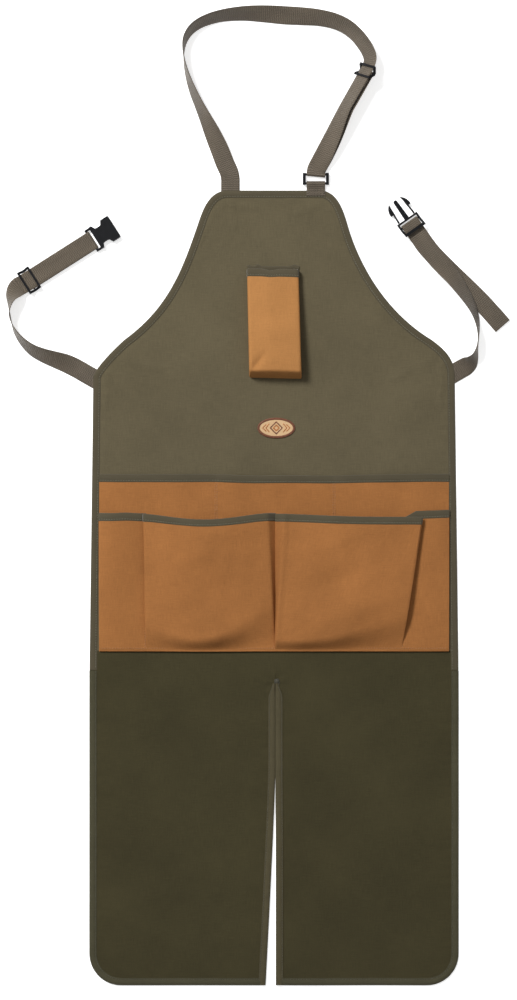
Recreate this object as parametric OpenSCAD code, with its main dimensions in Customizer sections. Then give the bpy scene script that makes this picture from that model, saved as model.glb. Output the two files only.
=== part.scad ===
// Split-leg canvas work apron with tool pockets, lying flat with its front face up.
// Frame: +X to the viewer's right, +Y towards the neck, +Z out of the front face.
// The origin is on the back face, on the centre line, level with the waist straps.

/* [Cloth] */
// Thickness of the canvas panels
cloth_t = 1.0; // [0.8:0.1:1.2]
// Visible width of the edge binding
binding_w = 9; // [7:1:11]
// Thickness of the folded binding above the cloth
binding_t = 1.4; // [1:0.1:1.6]

/* [Apron outline] */
// Half width at the waist straps
waist_half = 241; // [236:1:246]
// Half width at the leg seam and the hem
hem_half = 246; // [242:1:250]
// Height of the bib's top edge above the waist
bib_top = 246; // [242:1:250]
// Depth of the leg seam below the waist
leg_seam = 395; // [392:1:398]
// Depth of the hem below the waist
hem = 817; // [780:1:850]
// Radius of the hem's outer corners
hem_r = 42; // [30:1:50]
// Depth of the fold line of the legs below the waist
leg_fold = 424; // [420:1:430]
// Width of the slit at the hem
slit_w = 12; // [6:1:16]

/* [Pockets] */
// Depth of the upper row's top edge below the waist
upper_top = 134; // [132:1:138]
// Depth of the lower row's top edge below the waist
lower_top = 187; // [185:1:192]
// Depth of the pockets' sewn bottom edge below the waist
pocket_bottom = 371; // [368:1:374]
// Height of the pocket hems
hem_band = 10; // [8:1:12]
// Slack depth inside a flat pocket
flat_gap = 5.2; // [5:0.1:6]
// Slack depth at the mouth of a bellows pocket
bellows_gap = 18; // [14:1:22]
// Distance of the upper row's dividing seams from the centre line
upper_seam = 80; // [70:1:90]
// Distance of the bellows pockets' outer seams from the centre line
bellows_seam = 172; // [168:1:176]

/* [Chest pouch] */
// Width of the pouch
pouch_w = 70; // [66:1:74]
// Top edge of the pouch above the waist
pouch_top = 141; // [138:1:144]
// Bottom edge of the pouch above the waist
pouch_bottom = -3; // [-6:1:0]
// Depth of the pouch at its mouth
pouch_mouth = 11; // [9:1:14]
// Depth of the pouch at its bottom
pouch_base = 23; // [20:1:26]

/* [Webbing] */
// Width of the webbing
web_w = 25; // [24:0.5:25.5]
// Thickness of the webbing
web_t = 1.2; // [1:0.1:1.2]

/* [Hidden] */

olive = [0.40, 0.36, 0.26];
dark_olive = [0.26, 0.24, 0.16];
tan_cloth = [0.68, 0.43, 0.22];
grey_green = [0.36, 0.36, 0.29];
web_olive = [0.42, 0.38, 0.29];
black = [0.09, 0.09, 0.10];
cream = [0.85, 0.74, 0.56];

touch = 0.02;          // hairline between solids of one body that lie face to face
clear = 0.4;           // clearance round anything that moves
steps = 12;            // pieces of one Bezier curve
bib_bottom = 375;      // depth of the seam between the bib and the yoke
tuck = binding_w;      // how far the binding reaches in from the edge
lap = 1.2;             // how far the binding stands out past the cloth's edge
pocket_half = 231;     // half width of the pocket panels, inside the binding
upper_z = cloth_t + flat_gap;            // underside of the upper pocket panel
lower_z = upper_z + cloth_t;             // what the lower pockets are sewn on
bar_r = 1.6;                             // radius of the bars that webbing turns round
turn_r = bar_r + clear;                  // inner radius of webbing round a bar
fold_z = 3.4;                            // height of the fold and bar axes
main_z = fold_z + turn_r + web_t / 2;    // height of the upper layer's middle at a bar
layer = -2 * (turn_r + web_t / 2);       // from the upper layer's middle to the lower one's
rail_in = web_w / 2 + 1;                 // half width inside the buckle parts
rail_t = 3;                              // width of a side rail
slider_bar_r = 1;                        // radius of a slider's centre bar
slider_bar_z = layer + web_t / 2 + 0.2 + slider_bar_r;
slider_half = 9;                         // half length of a slider along the webbing

// ---------- outlines ----------
function bezier(a, b, c, d, n = steps) =
    [for (i = [1:n]) let (t = i / n, u = 1 - t)
        u * u * u * a + 3 * u * u * t * b + 3 * u * t * t * c + t * t * t * d];
function arc(c, r, a0, a1, n = steps) =
    [for (i = [0:n]) let (a = a0 + (a1 - a0) * i / n) c + r * [cos(a), sin(a)]];
function flip(pts) = [for (i = [len(pts) - 1:-1:0]) [-pts[i].x, pts[i].y]];
function unit(v) = v / norm(v);

// Moves each point of a closed counterclockwise outline inwards by d.
function inset(pts, d) = let (n = len(pts))
    [for (i = [0:n - 1])
        let (a = unit(pts[i] - pts[(i + n - 1) % n]), b = unit(pts[(i + 1) % n] - pts[i]),
             m = [-a.y - b.y, a.x + b.x])
        pts[i] + m * d / (1 + a * b)];

// Right half of the bib's edge, from the waist up to the middle of the top edge.
bib_edge = concat(
    [[waist_half, -4]],
    bezier([waist_half, -4], [waist_half, 16], [235, 29], [210, 46.5]),
    bezier([210, 46.5], [150, 83], [112, 146], [96.5, 204]),
    bezier([96.5, 204], [91, 222], [83, bib_top], [62, bib_top]));
// The left edge lies a little further in, as the cloth is laid out.
left_edge = flip(concat(
    [[waist_half, -4]],
    bezier([waist_half, -4], [waist_half, 4], [224, 24], [200, 46]),
    bezier([200, 46], [140, 90], [122, 140], [100.5, 203]),
    bezier([100.5, 203], [93, 226], [84, bib_top], [62, bib_top])));
seam_half = waist_half + (hem_half - waist_half) * bib_bottom / leg_seam;
bib_outline = concat([[seam_half, -bib_bottom]], bib_edge, left_edge,
    [[-seam_half, -bib_bottom]]);
// The same edge carried down to the fold line, for the binding.
body_outline = concat([[hem_half, -leg_fold + clear]], [[hem_half, -leg_seam]], bib_edge,
    left_edge, [[-hem_half, -leg_seam]], [[-hem_half, -leg_fold + clear]]);

function leg_outline(inner_top, inner_hem) = concat(
    [[inner_hem, -hem]],
    arc([hem_half - hem_r, hem_r - hem], hem_r, -90, 0),
    [[hem_half, -leg_fold - clear], [inner_top, -leg_fold - clear]]);
right_leg = leg_outline(1.6, 1.6);
left_leg = flip(leg_outline(1.6, slit_w));

module sheet(pts, z = 0, t = cloth_t) translate([0, 0, z]) linear_extrude(t) polygon(pts);

// ---------- cloth body ----------
module bib_panel() color(olive) sheet(bib_outline);

module sheet_ring(pts) difference() {
    sheet(inset(pts, -lap), 0, cloth_t + binding_t);
    sheet(inset(pts, tuck), -1, cloth_t + binding_t + 2);
    sheet(pts, -1, 1 + cloth_t);
}
module bib_binding() color(grey_green) intersection() {
    sheet_ring(body_outline);
    translate([-300, -leg_fold + clear, -1]) cube([600, 800, 9]);
}
module skirt_yoke() color(dark_olive) difference() {
    sheet([[-seam_half, -bib_bottom - touch], [-hem_half, -leg_seam],
           [-hem_half, -leg_fold + clear], [hem_half, -leg_fold + clear],
           [hem_half, -leg_seam], [seam_half, -bib_bottom - touch]]);
    translate([-0.5, -leg_fold - 1, -1]) cube([1, 13, 3]);
}
module slit_bartack() color(dark_olive)
    translate([-5, -leg_fold + 12.5, cloth_t]) cube([10, 3, 1]);

module leg_panel(pts) color(dark_olive) sheet(pts);
module leg_binding(pts) color(dark_olive) intersection() {
    sheet_ring(pts);
    translate([-300, -hem - 5, -1]) cube([600, hem + 5 - leg_fold - clear, 9]);
}

// ---------- pocket panels ----------
// One strip of cloth between two points of a section, run from y0 to y1.
module strip(a, b, t, y0, y1) translate([0, y1, 0]) rotate([90, 0, 0])
    linear_extrude(y1 - y0) polygon([a, b, b + [0, t], a + [0, t]]);
// A cloth that is sewn down at two seams and stands off between them.
module arch(x0, x1, run0, run1, low, high, t, y0, y1) {
    strip([x0 + touch, low], [x0 + run0, high], t, y0, y1);
    strip([x0 + run0 + touch, high], [x1 - run1 - touch, high], t, y0, y1);
    strip([x1 - run1, high], [x1 - touch, low], t, y0, y1);
}
upper_seams = [-pocket_half, -upper_seam, upper_seam, pocket_half];
module upper_pocket_panel() color(tan_cloth) for (i = [0:2])
    arch(upper_seams[i], upper_seams[i + 1], 9, 9, cloth_t, upper_z, cloth_t,
        -pocket_bottom, -upper_top - hem_band);
module upper_pocket_hem() color(grey_green) for (i = [0:2])
    arch(upper_seams[i], upper_seams[i + 1], 9, 9, cloth_t, upper_z - 0.3, cloth_t + 0.8,
        -upper_top - hem_band + touch, -upper_top);
// The sewn bottom edge, higher where the flat side pockets end on it.
module pocket_bottom_seam() color(tan_cloth) {
    translate([-bellows_seam, -pocket_bottom - 3, cloth_t])
        cube([2 * bellows_seam, 3 - touch, lower_z + cloth_t - 0.6]);
    for (side = [0, 1]) mirror([side, 0, 0])
        translate([bellows_seam + touch, -pocket_bottom - 3, cloth_t])
            cube([pocket_half - bellows_seam, 3 - touch, lower_z + flat_gap]);
}

// One flat side pocket of the lower row, on the right of the centre line.
module flat_pocket() color(tan_cloth)
    arch(bellows_seam + 2, pocket_half, 14, 6, lower_z, lower_z + flat_gap, cloth_t,
        -pocket_bottom, -lower_top - hem_band);

// The slope of a bellows pocket's face: high at the mouth, down to the panel at the bottom.
face_rise = bellows_gap - 0.6;
face_run = pocket_bottom - lower_top;
function face_z(depth) = lower_z + bellows_gap - face_rise * (depth - lower_top) / face_run;
// A slanted plate between two depths, x0 and x1 giving its sides at the top and the bottom.
module face_plate(depth0, depth1, top_x, bottom_x, z = 0, t = cloth_t) {
    function at(list_a, list_b, i, d) =
        list_a[i] + (list_b[i] - list_a[i]) * (d - lower_top) / face_run;
    a = [at(top_x, bottom_x, 0, depth0), at(top_x, bottom_x, 1, depth0)];
    b = [at(top_x, bottom_x, 0, depth1), at(top_x, bottom_x, 1, depth1)];
    intersection() {
        translate([-300, 0, 0]) rotate([90, 0, 90]) linear_extrude(600)
            polygon([[-depth0, face_z(depth0) + z], [-depth1, face_z(depth1) + z],
                     [-depth1, face_z(depth1) + z + t], [-depth0, face_z(depth0) + z + t]]);
        linear_extrude(60)
            polygon([[a[0], -depth0], [b[0], -depth1], [b[1], -depth1], [a[1], -depth0]]);
    }
}
right_face = [[11, 198], [2.5, bellows_seam]];
left_face = [[-177, -11], [-bellows_seam + 1, -2.5]];
module bellows_front(f) color(tan_cloth)
    face_plate(lower_top + hem_band, pocket_bottom, f[0], f[1]);
// The two folded side walls of a bellows pocket. Each leans from its seam to the face's edge.
module pleat(x_top, x_bottom, side) {
    lean = (x_top - x_bottom) / face_rise;
    low = [-lower_top - 1, -pocket_bottom + 6];
    function corner(y, z, dx) = [x_bottom + lean * max(0, z - lower_z - 0.6) + dx, y, z];
    function end(dx) = [corner(low[0], lower_z, dx), corner(low[1], lower_z, dx),
        corner(low[1], face_z(-low[1]) - 0.4, dx), corner(low[0], face_z(-low[0]) - 0.4, dx)];
    polyhedron(concat(end(side < 0 ? 0.6 : -0.6 - cloth_t), end(side < 0 ? 0.6 + cloth_t : -0.6)),
        [[0, 1, 2, 3], [7, 6, 5, 4], [0, 4, 5, 1], [1, 5, 6, 2], [2, 6, 7, 3], [3, 7, 4, 0]]);
}
module bellows_pleats(f) color(tan_cloth) for (k = [0, 1])
    pleat(f[0][k], f[1][k], k == 0 ? -1 : 1);
module lower_pocket_hem() color(grey_green) {
    for (f = [left_face, right_face])
        face_plate(lower_top, lower_top + hem_band - touch, f[0], f[1], -0.3, cloth_t + 0.8);
    for (x = [[-pocket_half + 6, -bellows_seam - 7], [bellows_seam + 28, pocket_half - 6]])
        translate([x[0], -lower_top - hem_band + touch, lower_z + flat_gap - 0.3])
            cube([x[1] - x[0], hem_band - touch, cloth_t + 0.8]);
}

// ---------- chest pouch ----------
pouch_x = 0.5;                    // the pouch hangs a little right of the centre line
pouch_front_y = pouch_bottom + 1; // front face's lower edge
function pouch_z(y) = cloth_t + pouch_base
    - (pouch_base - pouch_mouth) * (y - pouch_bottom) / (pouch_top - pouch_bottom);
module pouch_slab(y0, y1, low, t, w) translate([pouch_x - w / 2, 0, 0])
    rotate([90, 0, 90]) linear_extrude(w)
        polygon([[y0, pouch_z(y0) + low], [y1, pouch_z(y1) + low],
                 [y1, pouch_z(y1) + low + t], [y0, pouch_z(y0) + low + t]]);
module chest_pouch_front() color(tan_cloth)
    pouch_slab(pouch_bottom, pouch_top - hem_band, 0, cloth_t, pouch_w);
module chest_pouch_hem() color(grey_green)
    pouch_slab(pouch_top - hem_band + touch, pouch_top, -0.3, cloth_t + 0.8, pouch_w);
// Side walls and bottom of the pouch.
module chest_pouch_gusset() color(tan_cloth) {
    for (x = [-pouch_w / 2, pouch_w / 2 - cloth_t]) translate([pouch_x + x, 0, 0])
        rotate([90, 0, 90]) linear_extrude(cloth_t)
            polygon([[pouch_bottom, cloth_t], [pouch_top - 1, cloth_t],
                     [pouch_top - 1, pouch_z(pouch_top - 1) - 0.35],
                     [pouch_bottom, pouch_z(pouch_bottom) - 0.35]]);
    translate([pouch_x - pouch_w / 2 + cloth_t + touch, pouch_bottom, cloth_t])
        cube([pouch_w - 2 * cloth_t - 2 * touch, cloth_t, pouch_base - 0.5]);
}
module badge() color(cream) translate([-23, -84, cloth_t]) linear_extrude(1.2)
    polygon(concat(arc([43, 23], 3, 0, 90, 4), arc([3, 23], 3, 90, 180, 4),
        arc([3, 3], 3, 180, 270, 4), arc([43, 3], 3, 270, 360, 4)));

// ---------- webbing ----------
// A route's points are [x, y, lift, roll]: lift is the height of the webbing's lowest
// edge and roll its turn about its own length, 0 lying flat and 90 standing on edge.
function spline_at(a, b, c, d, t) = 0.5 * (2 * b + (c - a) * t
    + (2 * a - 5 * b + 4 * c - d) * t * t + (3 * b - a - 3 * c + d) * t * t * t);
function smooth(pts, n) = let (m = len(pts) - 1) concat(
    [for (i = [0:m - 1], k = [0:n - 1])
        spline_at(pts[max(i - 1, 0)], pts[i], pts[i + 1], pts[min(i + 2, m)], k / n)],
    [pts[m]]);
function ring_of(p, dir, off) = let (
    n = [-dir.y, dir.x, 0], c = cos(p[3]), s = sin(p[3]),
    w = n * c + [0, 0, s], t = [0, 0, c] - n * s,
    mid = [p.x, p.y, p[2] + abs(s) * web_w / 2 + abs(c) * web_t / 2] + off * t)
    [for (k = [[-1, -1], [1, -1], [1, 1], [-1, 1]])
        mid + w * k.x * web_w / 2 + t * k.y * web_t / 2];
module ribbon(route, off = 0, n = 3) {
    pts = smooth(route, n);
    m = len(pts) - 1;
    rings = [for (i = [0:m])
        let (d = pts[min(i + 1, m)] - pts[max(i - 1, 0)])
        ring_of(pts[i], unit([d.x, d.y]), off)];
    sides = [for (i = [0:m - 1], k = [0:3]) let (a = 4 * i + k, b = 4 * i + (k + 1) % 4)
        each [[a, b + 4, b], [a, a + 4, b + 4]]];
    polyhedron([for (r = rings) each r],
        concat([[0, 1, 2, 3]], [[for (k = [3:-1:0]) 4 * m + k]], sides));
}
// Puts a part on the webbing at p: its x runs along the webbing, its z is 0 at the
// middle of the upper layer.
module on_web(p, heading, z, roll = 0)
    translate([p.x, p.y, z]) rotate([0, 0, heading]) rotate([roll, 0, 0]) children();
// Webbing turned half round a bar that lies across it, on the +x side.
module turn(r) translate([0, web_w / 2, 0]) rotate([90, 0, 0])
    rotate_extrude(angle = 180, start = -90, $fn = 48)
        translate([r, 0]) square([web_t, web_w]);

// A slider: two outer bars over the webbing, a centre bar under it.
module slider() {
    rail = [[-slider_half, 0.9], [-1.7, slider_bar_z - 1.4], [1.7, slider_bar_z - 1.4],
            [slider_half, 0.9], [slider_half, 2.6], [slider_half - 3, 2.6],
            [1.5, slider_bar_z + 1.4], [-1.5, slider_bar_z + 1.4], [3 - slider_half, 2.6],
            [-slider_half, 2.6]];
    for (y = [-rail_in - rail_t, rail_in]) translate([0, y + rail_t, 0]) rotate([90, 0, 0])
        linear_extrude(rail_t) polygon(rail);
    for (x = [-slider_half, slider_half - 3]) translate([x, -rail_in - 1, 0.9])
        cube([3, 2 * rail_in + 2, 1.7]);
    translate([0, rail_in + 1, slider_bar_z]) rotate([90, 0, 0])
        cylinder(r = slider_bar_r, h = 2 * rail_in + 2, $fn = 32);
}
// The webbing's sewn end, wrapped round a slider's centre bar.
strap_end = 22;
module wrapped_end() {
    r = slider_bar_r + 0.2;
    translate([0, 0, slider_bar_z]) rotate([0, 0, 180]) turn(r);
    translate([0, -web_w / 2, slider_bar_z + r]) cube([strap_end, web_w, web_t]);
    translate([0, -web_w / 2, slider_bar_z - r - web_t]) cube([1, web_w, web_t]);
}

// Neck strap
neck_x = 56;                                     // keeper and ring, from the centre line
neck_fold = 256.3;                               // ring's lower bar, and the fold line
ring_pitch = 12;                                 // between the ring's bars
neck_slider_at = [122, 404.5];
neck_heading = -119.5;                             // from the slider towards the ring
neck_roll = 50;
neck_run_z = 16.2;
function neck_run(s) = [neck_slider_at.x + s * cos(neck_heading),
    neck_slider_at.y + s * sin(neck_heading), 6.2, neck_roll - 180];
neck_down = [
    neck_run(56), [87.8, 341.3, 6.0, -136], [80.2, 323.5, 5.8, -147], [72.5, 306.5, 5.6, -159],
    [65.8, 292.5, 5.4, -171], [60.4, 282, 5.4, -180], [56.8, 274.5, 5.4, -180]];
neck_turn = [neck_x, neck_fold + ring_pitch, 5.4, -180];
neck_route = concat([
    [-58.5, neck_fold + 0.6, 0.2, 0], [-58.6, 263, 0.2, 0], [-60.4, 272, 0.2, 0], [-65.8, 284, 0, -3],
    [-73, 302, 0, -15], [-82, 322, 0, -32], [-91, 341, 0, -50], [-100, 360, 0, -62],
    [-108, 378, 0, -68], [-114.5, 396, 0, -76], [-119, 414, 0, -84], [-121, 432, 0, -92],
    [-118, 449, 0, -102], [-108, 463, 0, -109], [-91, 473, 0, -114], [-68, 479.5, 0, -119],
    [-40, 482.5, 0, -129], [-12, 482.3, 0, -143], [14, 480.8, 0, -153], [38, 479.3, 0.1, -149],
    [60, 477, 0.4, -140], [80, 472.3, 1.2, -135], [96, 464.8, 2.4, -132], [109, 454, 3.8, -130],
    [119, 441.5, 5, -130], [125.2, 431, 5.7, -130], [128, 421, 6.1, -130]],
    [for (s = [-8, 0, 15, 30, 45]) neck_run(s)], neck_down, [neck_turn]);

module neck_keeper() color(web_olive) translate([neck_x - web_w / 2, 0, 0])
    rotate([90, 0, 90]) linear_extrude(web_w) {
        top = cloth_t + binding_t;
        r = turn_r + web_t;
        c = [neck_fold, fold_z];
        polygon(concat(
            [[bib_top - 11, top + 0.1], [bib_top, top + 0.1]],
            arc(c, turn_r, 120, -90), [[bib_top + lap + 0.1, fold_z - turn_r]],
            [[bib_top + lap + 0.1, fold_z - r]], arc(c, r, -90, 110),
            [[bib_top - 1, top + 0.1 + web_t], [bib_top - 11, top + 0.1 + web_t]]));
    }
module neck_ring() color(black) translate([neck_x, neck_fold, fold_z]) {
    for (y = [0, ring_pitch]) translate([-rail_in - 1, y, 0]) rotate([0, 90, 0])
        cylinder(r = bar_r, h = 2 * rail_in + 2, $fn = 32);
    for (x = [-rail_in - rail_t - 1, rail_in]) translate([x, -bar_r - 0.3, -bar_r])
        cube([rail_t + 1, ring_pitch + 2 * bar_r + 0.6, 2 * bar_r]);
}
module neck_strap_anchor() color(web_olive)
    translate([-58.5 - web_w / 2, bib_top + lap + touch, 0.2])
        cube([web_w, neck_fold - clear - bib_top - lap, web_t]);
module neck_strap() color(web_olive) {
    ribbon(neck_route);
    on_web([neck_x, neck_fold + ring_pitch - touch], -90, fold_z) turn(turn_r);
}
module neck_strap_return() color(web_olive)
    ribbon([for (p = concat([for (s = [1.2, 15, 30, 45]) neck_run(s)], neck_down, [neck_turn + [0, 2.7, 0, 0]]))
        [p.x, p.y, p[2], p[3] + 180]], layer);
module neck_on_run() on_web(neck_slider_at, neck_heading, neck_run_z, neck_roll) children();
module neck_slider() color(black) neck_on_run() slider();
module neck_strap_end() color(web_olive) neck_on_run() wrapped_end();

// Left waist strap
left_fold = [-250, 0.5];                         // where the left strap folds
left_slider_at = [-327.5, 126.3];
left_heading = 32.5;
left_run = 99;                                   // from the slider to the socket's bar
function left_at(s) = [left_slider_at.x + s * cos(left_heading),
    left_slider_at.y + s * sin(left_heading), main_z - web_t / 2, 0];
left_route = concat([
    [-250.4, 0.7, 0.2, 0], [-263, 8, 0.2, 0], [-277, 14.8, 0.1, -13], [-292, 20, 0, -31],
    [-308, 25.5, 0, -44], [-322.5, 32.5, 0, -54], [-334.5, 42.5, 0, -65], [-344, 54.5, 0, -75],
    [-350, 67.5, 0, -85], [-353, 81, 0, -87], [-352.5, 94.8, 0.6, -70], [-349.6, 106.3, 2.6, -38]],
    [for (s = [-18, -10, 4, 25, 46, 67, left_run]) left_at(s)]);
module strap_anchor(side, y) color(web_olive) linear_extrude(web_t) difference() {
    translate([side * 250 - 12, y - 22]) square([24, 44]);
    // everything on the apron's side of the binding's outer edge
    translate([side * 121.25 - 121.25 - touch, y - 50]) square([242.5 + 2 * touch, 100]);
    // everything past the fold line, and what is wider than the webbing
    translate([side * 250, y]) rotate(side > 0 ? 30 : 150) {
        translate([-clear, -50]) square([100, 100]);
        for (v = [-60, web_w / 2]) translate([-60, v]) square([120, 60 - web_w / 2]);
    }
}
module left_strap_anchor() translate([0, 0, 0.2]) strap_anchor(-1, left_fold.y);
module left_strap() color(web_olive) {
    ribbon(left_route);
    on_web(left_at(left_run + touch), left_heading, fold_z) turn(turn_r);
}
module left_strap_return() color(web_olive)
    on_web(left_slider_at, left_heading, main_z + layer - web_t / 2)
        translate([1.2, -web_w / 2, 0]) cube([left_run - 1.2, web_w, web_t]);
module left_on_run() on_web(left_slider_at, left_heading, main_z) children();
module waist_slider() color(black) left_on_run() slider();
module left_strap_end() color(web_olive) left_on_run() wrapped_end();

// Socket of the side-release buckle: x runs from its bar to its mouth.
socket_l = 36;
socket_t = 8;
socket_edge = concat([[5.5, 16.5], [9.5, 16.5]], [for (x = [12:1:21]) [x, 10.5 + pow((x - 16.5) / 5.4, 4) * 1.5]],
    [[24, 16.5]], arc([socket_l - 2, 14.5], 2, 90, 0, 6));
module buckle_socket() color(black)
    on_web(left_at(left_run), left_heading, fold_z) {
        difference() {
            translate([0, 0, -fold_z + 0.3]) linear_extrude(socket_t)
                polygon(concat(socket_edge, [for (i = [len(socket_edge) - 1:-1:0])
                    [socket_edge[i].x, -socket_edge[i].y]]));
            translate([12, -13.2, -fold_z + 1.7]) cube([40, 26.4, 5.2]);
        }
        for (y = [-rail_in - rail_t, rail_in]) translate([-bar_r, y, -2])
            cube([bar_r + 6, rail_t, 4]);
        translate([0, rail_in + 1, 0]) rotate([90, 0, 0])
            cylinder(r = bar_r, h = 2 * rail_in + 2, $fn = 32);
    }

// Right waist strap
right_fold = [250, 7.5];
plug_at = [182, 203];
plug_heading = 125;
function plug_run(s) = [plug_at.x + s * cos(plug_heading), plug_at.y + s * sin(plug_heading),
    main_z - web_t / 2, 0];
right_route = concat([
    [250.4, 7.7, 0.2, 0], [257, 11.4, 0.2, 12], [263.5, 16.2, 0, 38], [268.3, 24, 0, 64],
    [271, 34.5, 0, 80], [272.6, 47, 0, 84], [272.6, 60.5, 0.2, 78], [270.3, 75, 1.2, 68],
    [265.5, 88, 2.1, 60], [257.8, 102, 2.8, 50], [249, 115.5, 3.4, 40], [239.3, 129.3, 4.1, 28],
    [227.8, 143.2, 4.8, 13], [215.5, 157.5, 5.3, 3]],
    [for (s = [-38, -22, -10, 0]) plug_run(s)]);
tail_route = concat([for (s = [0, -12, -24, -38]) plug_run(s)],
    [[218, 156.5, 5.4, 0], [233.5, 141, 5.4, 0], [249, 126, 5.4, 0], [264, 111.5, 5.4, 0],
     [279, 96.5, 5.3, 0], [293, 81, 5.3, 0], [306.5, 65.5, 5.3, 0]]);
module right_strap_anchor() translate([0, 0, 0.2]) strap_anchor(1, right_fold.y);
module right_strap() color(web_olive) {
    ribbon(right_route);
    on_web(plug_run(touch), plug_heading, fold_z) turn(turn_r);
}
module right_strap_tail() color(web_olive) ribbon(tail_route, layer, 2);

// Plug of the buckle: x runs from its bar to its tips.
plug_wall = 7.5;
plug_t = 5;
module on_plug() on_web(plug_at, plug_heading, fold_z) children();
module buckle_plug() color(black) on_plug() {
    // the rails rise behind the bar to the raised thumb tab
    for (y = [-rail_in - 2.4, rail_in]) translate([0, y + 2.4, 0]) rotate([90, 0, 0])
        linear_extrude(2.4)
            polygon([[-5, -2], [plug_wall, -2.5], [plug_wall, 2.5], [-3, 2.5], [-9, 8.6],
                     [-13, 8.6], [-13, 6.4], [-10, 6.4]]);
    translate([plug_wall - 2.5, -rail_in - 2.4, -plug_t / 2])
        cube([2.5, 2 * rail_in + 4.8, plug_t]);
    translate([-13, -rail_in - 1, 6.4]) cube([4, 2 * rail_in + 2, 2.2]);
    translate([0, rail_in + 1, 0]) rotate([90, 0, 0])
        cylinder(r = bar_r, h = 2 * rail_in + 2, $fn = 32);
}
module plug_guide() color(black) on_plug() translate([0, 0, -2]) linear_extrude(4)
    polygon(concat([[plug_wall + touch, 3.2], [plug_wall + touch, -3.2]],
        arc([34, 0], 2.6, -80, 80, 8)));
prong_y = 12.2;
prong_root = plug_wall + 1.5;
// One flexing arm with its barbed head, on the +y side.
module prong() translate([0, 0, -2.2]) linear_extrude(4.4)
    polygon(concat(
        arc([prong_root, prong_y], 1.1, 90, 270, 8),
        bezier([prong_root, prong_y - 1.1], [16, prong_y - 1.0], [22, prong_y - 2.2], [27, prong_y - 2.2], 6),
        bezier([27, prong_y - 2.2], [31, prong_y - 2.2], [35, prong_y - 2.6], [36.5, prong_y - 3.6], 6),
        bezier([36.5, prong_y - 3.6], [34, prong_y + 0.5], [29, prong_y + 3.6], [22.5, prong_y + 3.8], 8),
        [[21, prong_y + 3], [21.5, prong_y + 0.2], [prong_root, prong_y + 1.1]]));
module left_prong() color(black) on_plug() prong();
module right_prong() color(black) on_plug() mirror([0, 1, 0]) prong();

bib_panel();
bib_binding();
skirt_yoke();
slit_bartack();
leg_panel(left_leg);  // left_leg_panel
leg_binding(left_leg);  // left_leg_binding
leg_panel(right_leg);  // right_leg_panel
leg_binding(right_leg);  // right_leg_binding
upper_pocket_panel();
upper_pocket_hem();
pocket_bottom_seam();
mirror([1, 0, 0]) flat_pocket();  // left_flat_pocket
flat_pocket();  // right_flat_pocket
bellows_front(left_face);  // left_bellows_front
bellows_front(right_face);  // right_bellows_front
bellows_pleats(left_face);  // left_bellows_pleats
bellows_pleats(right_face);  // right_bellows_pleats
lower_pocket_hem();
chest_pouch_front();
chest_pouch_gusset();
chest_pouch_hem();
badge();
neck_keeper();
neck_ring();
neck_strap_anchor();
neck_strap();
neck_strap_return();
neck_slider();
neck_strap_end();
left_strap_anchor();
left_strap();
left_strap_return();
waist_slider();
left_strap_end();
buckle_socket();
right_strap_anchor();
right_strap();
right_strap_tail();
buckle_plug();
plug_guide();
left_prong();
right_prong();
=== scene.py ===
import math

import bpy
import numpy as np
from mathutils import Matrix, Vector


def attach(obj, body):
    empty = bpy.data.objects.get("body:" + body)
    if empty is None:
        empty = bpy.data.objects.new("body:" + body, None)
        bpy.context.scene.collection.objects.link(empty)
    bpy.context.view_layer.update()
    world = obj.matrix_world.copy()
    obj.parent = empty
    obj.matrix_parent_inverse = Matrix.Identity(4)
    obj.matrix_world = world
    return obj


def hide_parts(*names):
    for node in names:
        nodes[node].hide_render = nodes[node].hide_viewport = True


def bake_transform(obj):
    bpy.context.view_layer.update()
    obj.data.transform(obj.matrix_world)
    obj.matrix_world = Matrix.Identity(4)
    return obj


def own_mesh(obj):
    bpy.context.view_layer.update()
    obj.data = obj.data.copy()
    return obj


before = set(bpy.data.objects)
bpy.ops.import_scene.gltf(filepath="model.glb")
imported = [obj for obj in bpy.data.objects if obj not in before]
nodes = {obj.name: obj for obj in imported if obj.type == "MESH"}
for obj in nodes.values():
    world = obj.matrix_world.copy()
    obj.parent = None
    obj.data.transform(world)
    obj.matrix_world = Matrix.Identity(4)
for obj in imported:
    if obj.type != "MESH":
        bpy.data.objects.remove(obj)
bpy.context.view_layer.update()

MM = 0.001
UP = np.array([0.0, 0.0, 1.0])

# ---- dimensions, mm
WAIST_HALF, HEM_HALF = 241.0, 246.0
BIB_TOP, SEAM_Y, POCKET_Y, HEM_Y, FOLD_Y = 246.0, -395.0, -369.6, -817.0, -424.0
SLIT_TOP, SLIT_OPEN, SLIT_X = -413.0, -526.0, 2.0
HEM_R = 42.0
HEM_OUT = HEM_HALF + 0.8            # the skirt's half width
HEM_TURN = HEM_Y + HEM_R            # where the rounded corners begin
ROW_HALF = 234.0                    # half width of the rows of pockets
CLOTH = 1.0
STEP = 3.0                          # between the points of an edge or a stitch line
WEB_W, HALF_T = 25.0, 0.6           # webbing: width and half thickness
FOLD_Z, TURN_R = 3.4, 2.0
BAR_R, BAR_GAP = 1.0, 0.2           # slider's bar, and the webbing's clearance round it
LOOP_R = TURN_R + HALF_T            # radius of the webbing's middle round a bar
LAYER = 2 * LOOP_R                  # between the two layers of doubled webbing
MAIN_Z = FOLD_Z + TURN_R + HALF_T   # height of the upper layer's middle
SLIDER_BAR_Z = -LAYER + HALF_T + BAR_GAP + BAR_R
SIDES = 6                           # corners round a sewing thread

# ---- small tools


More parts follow.
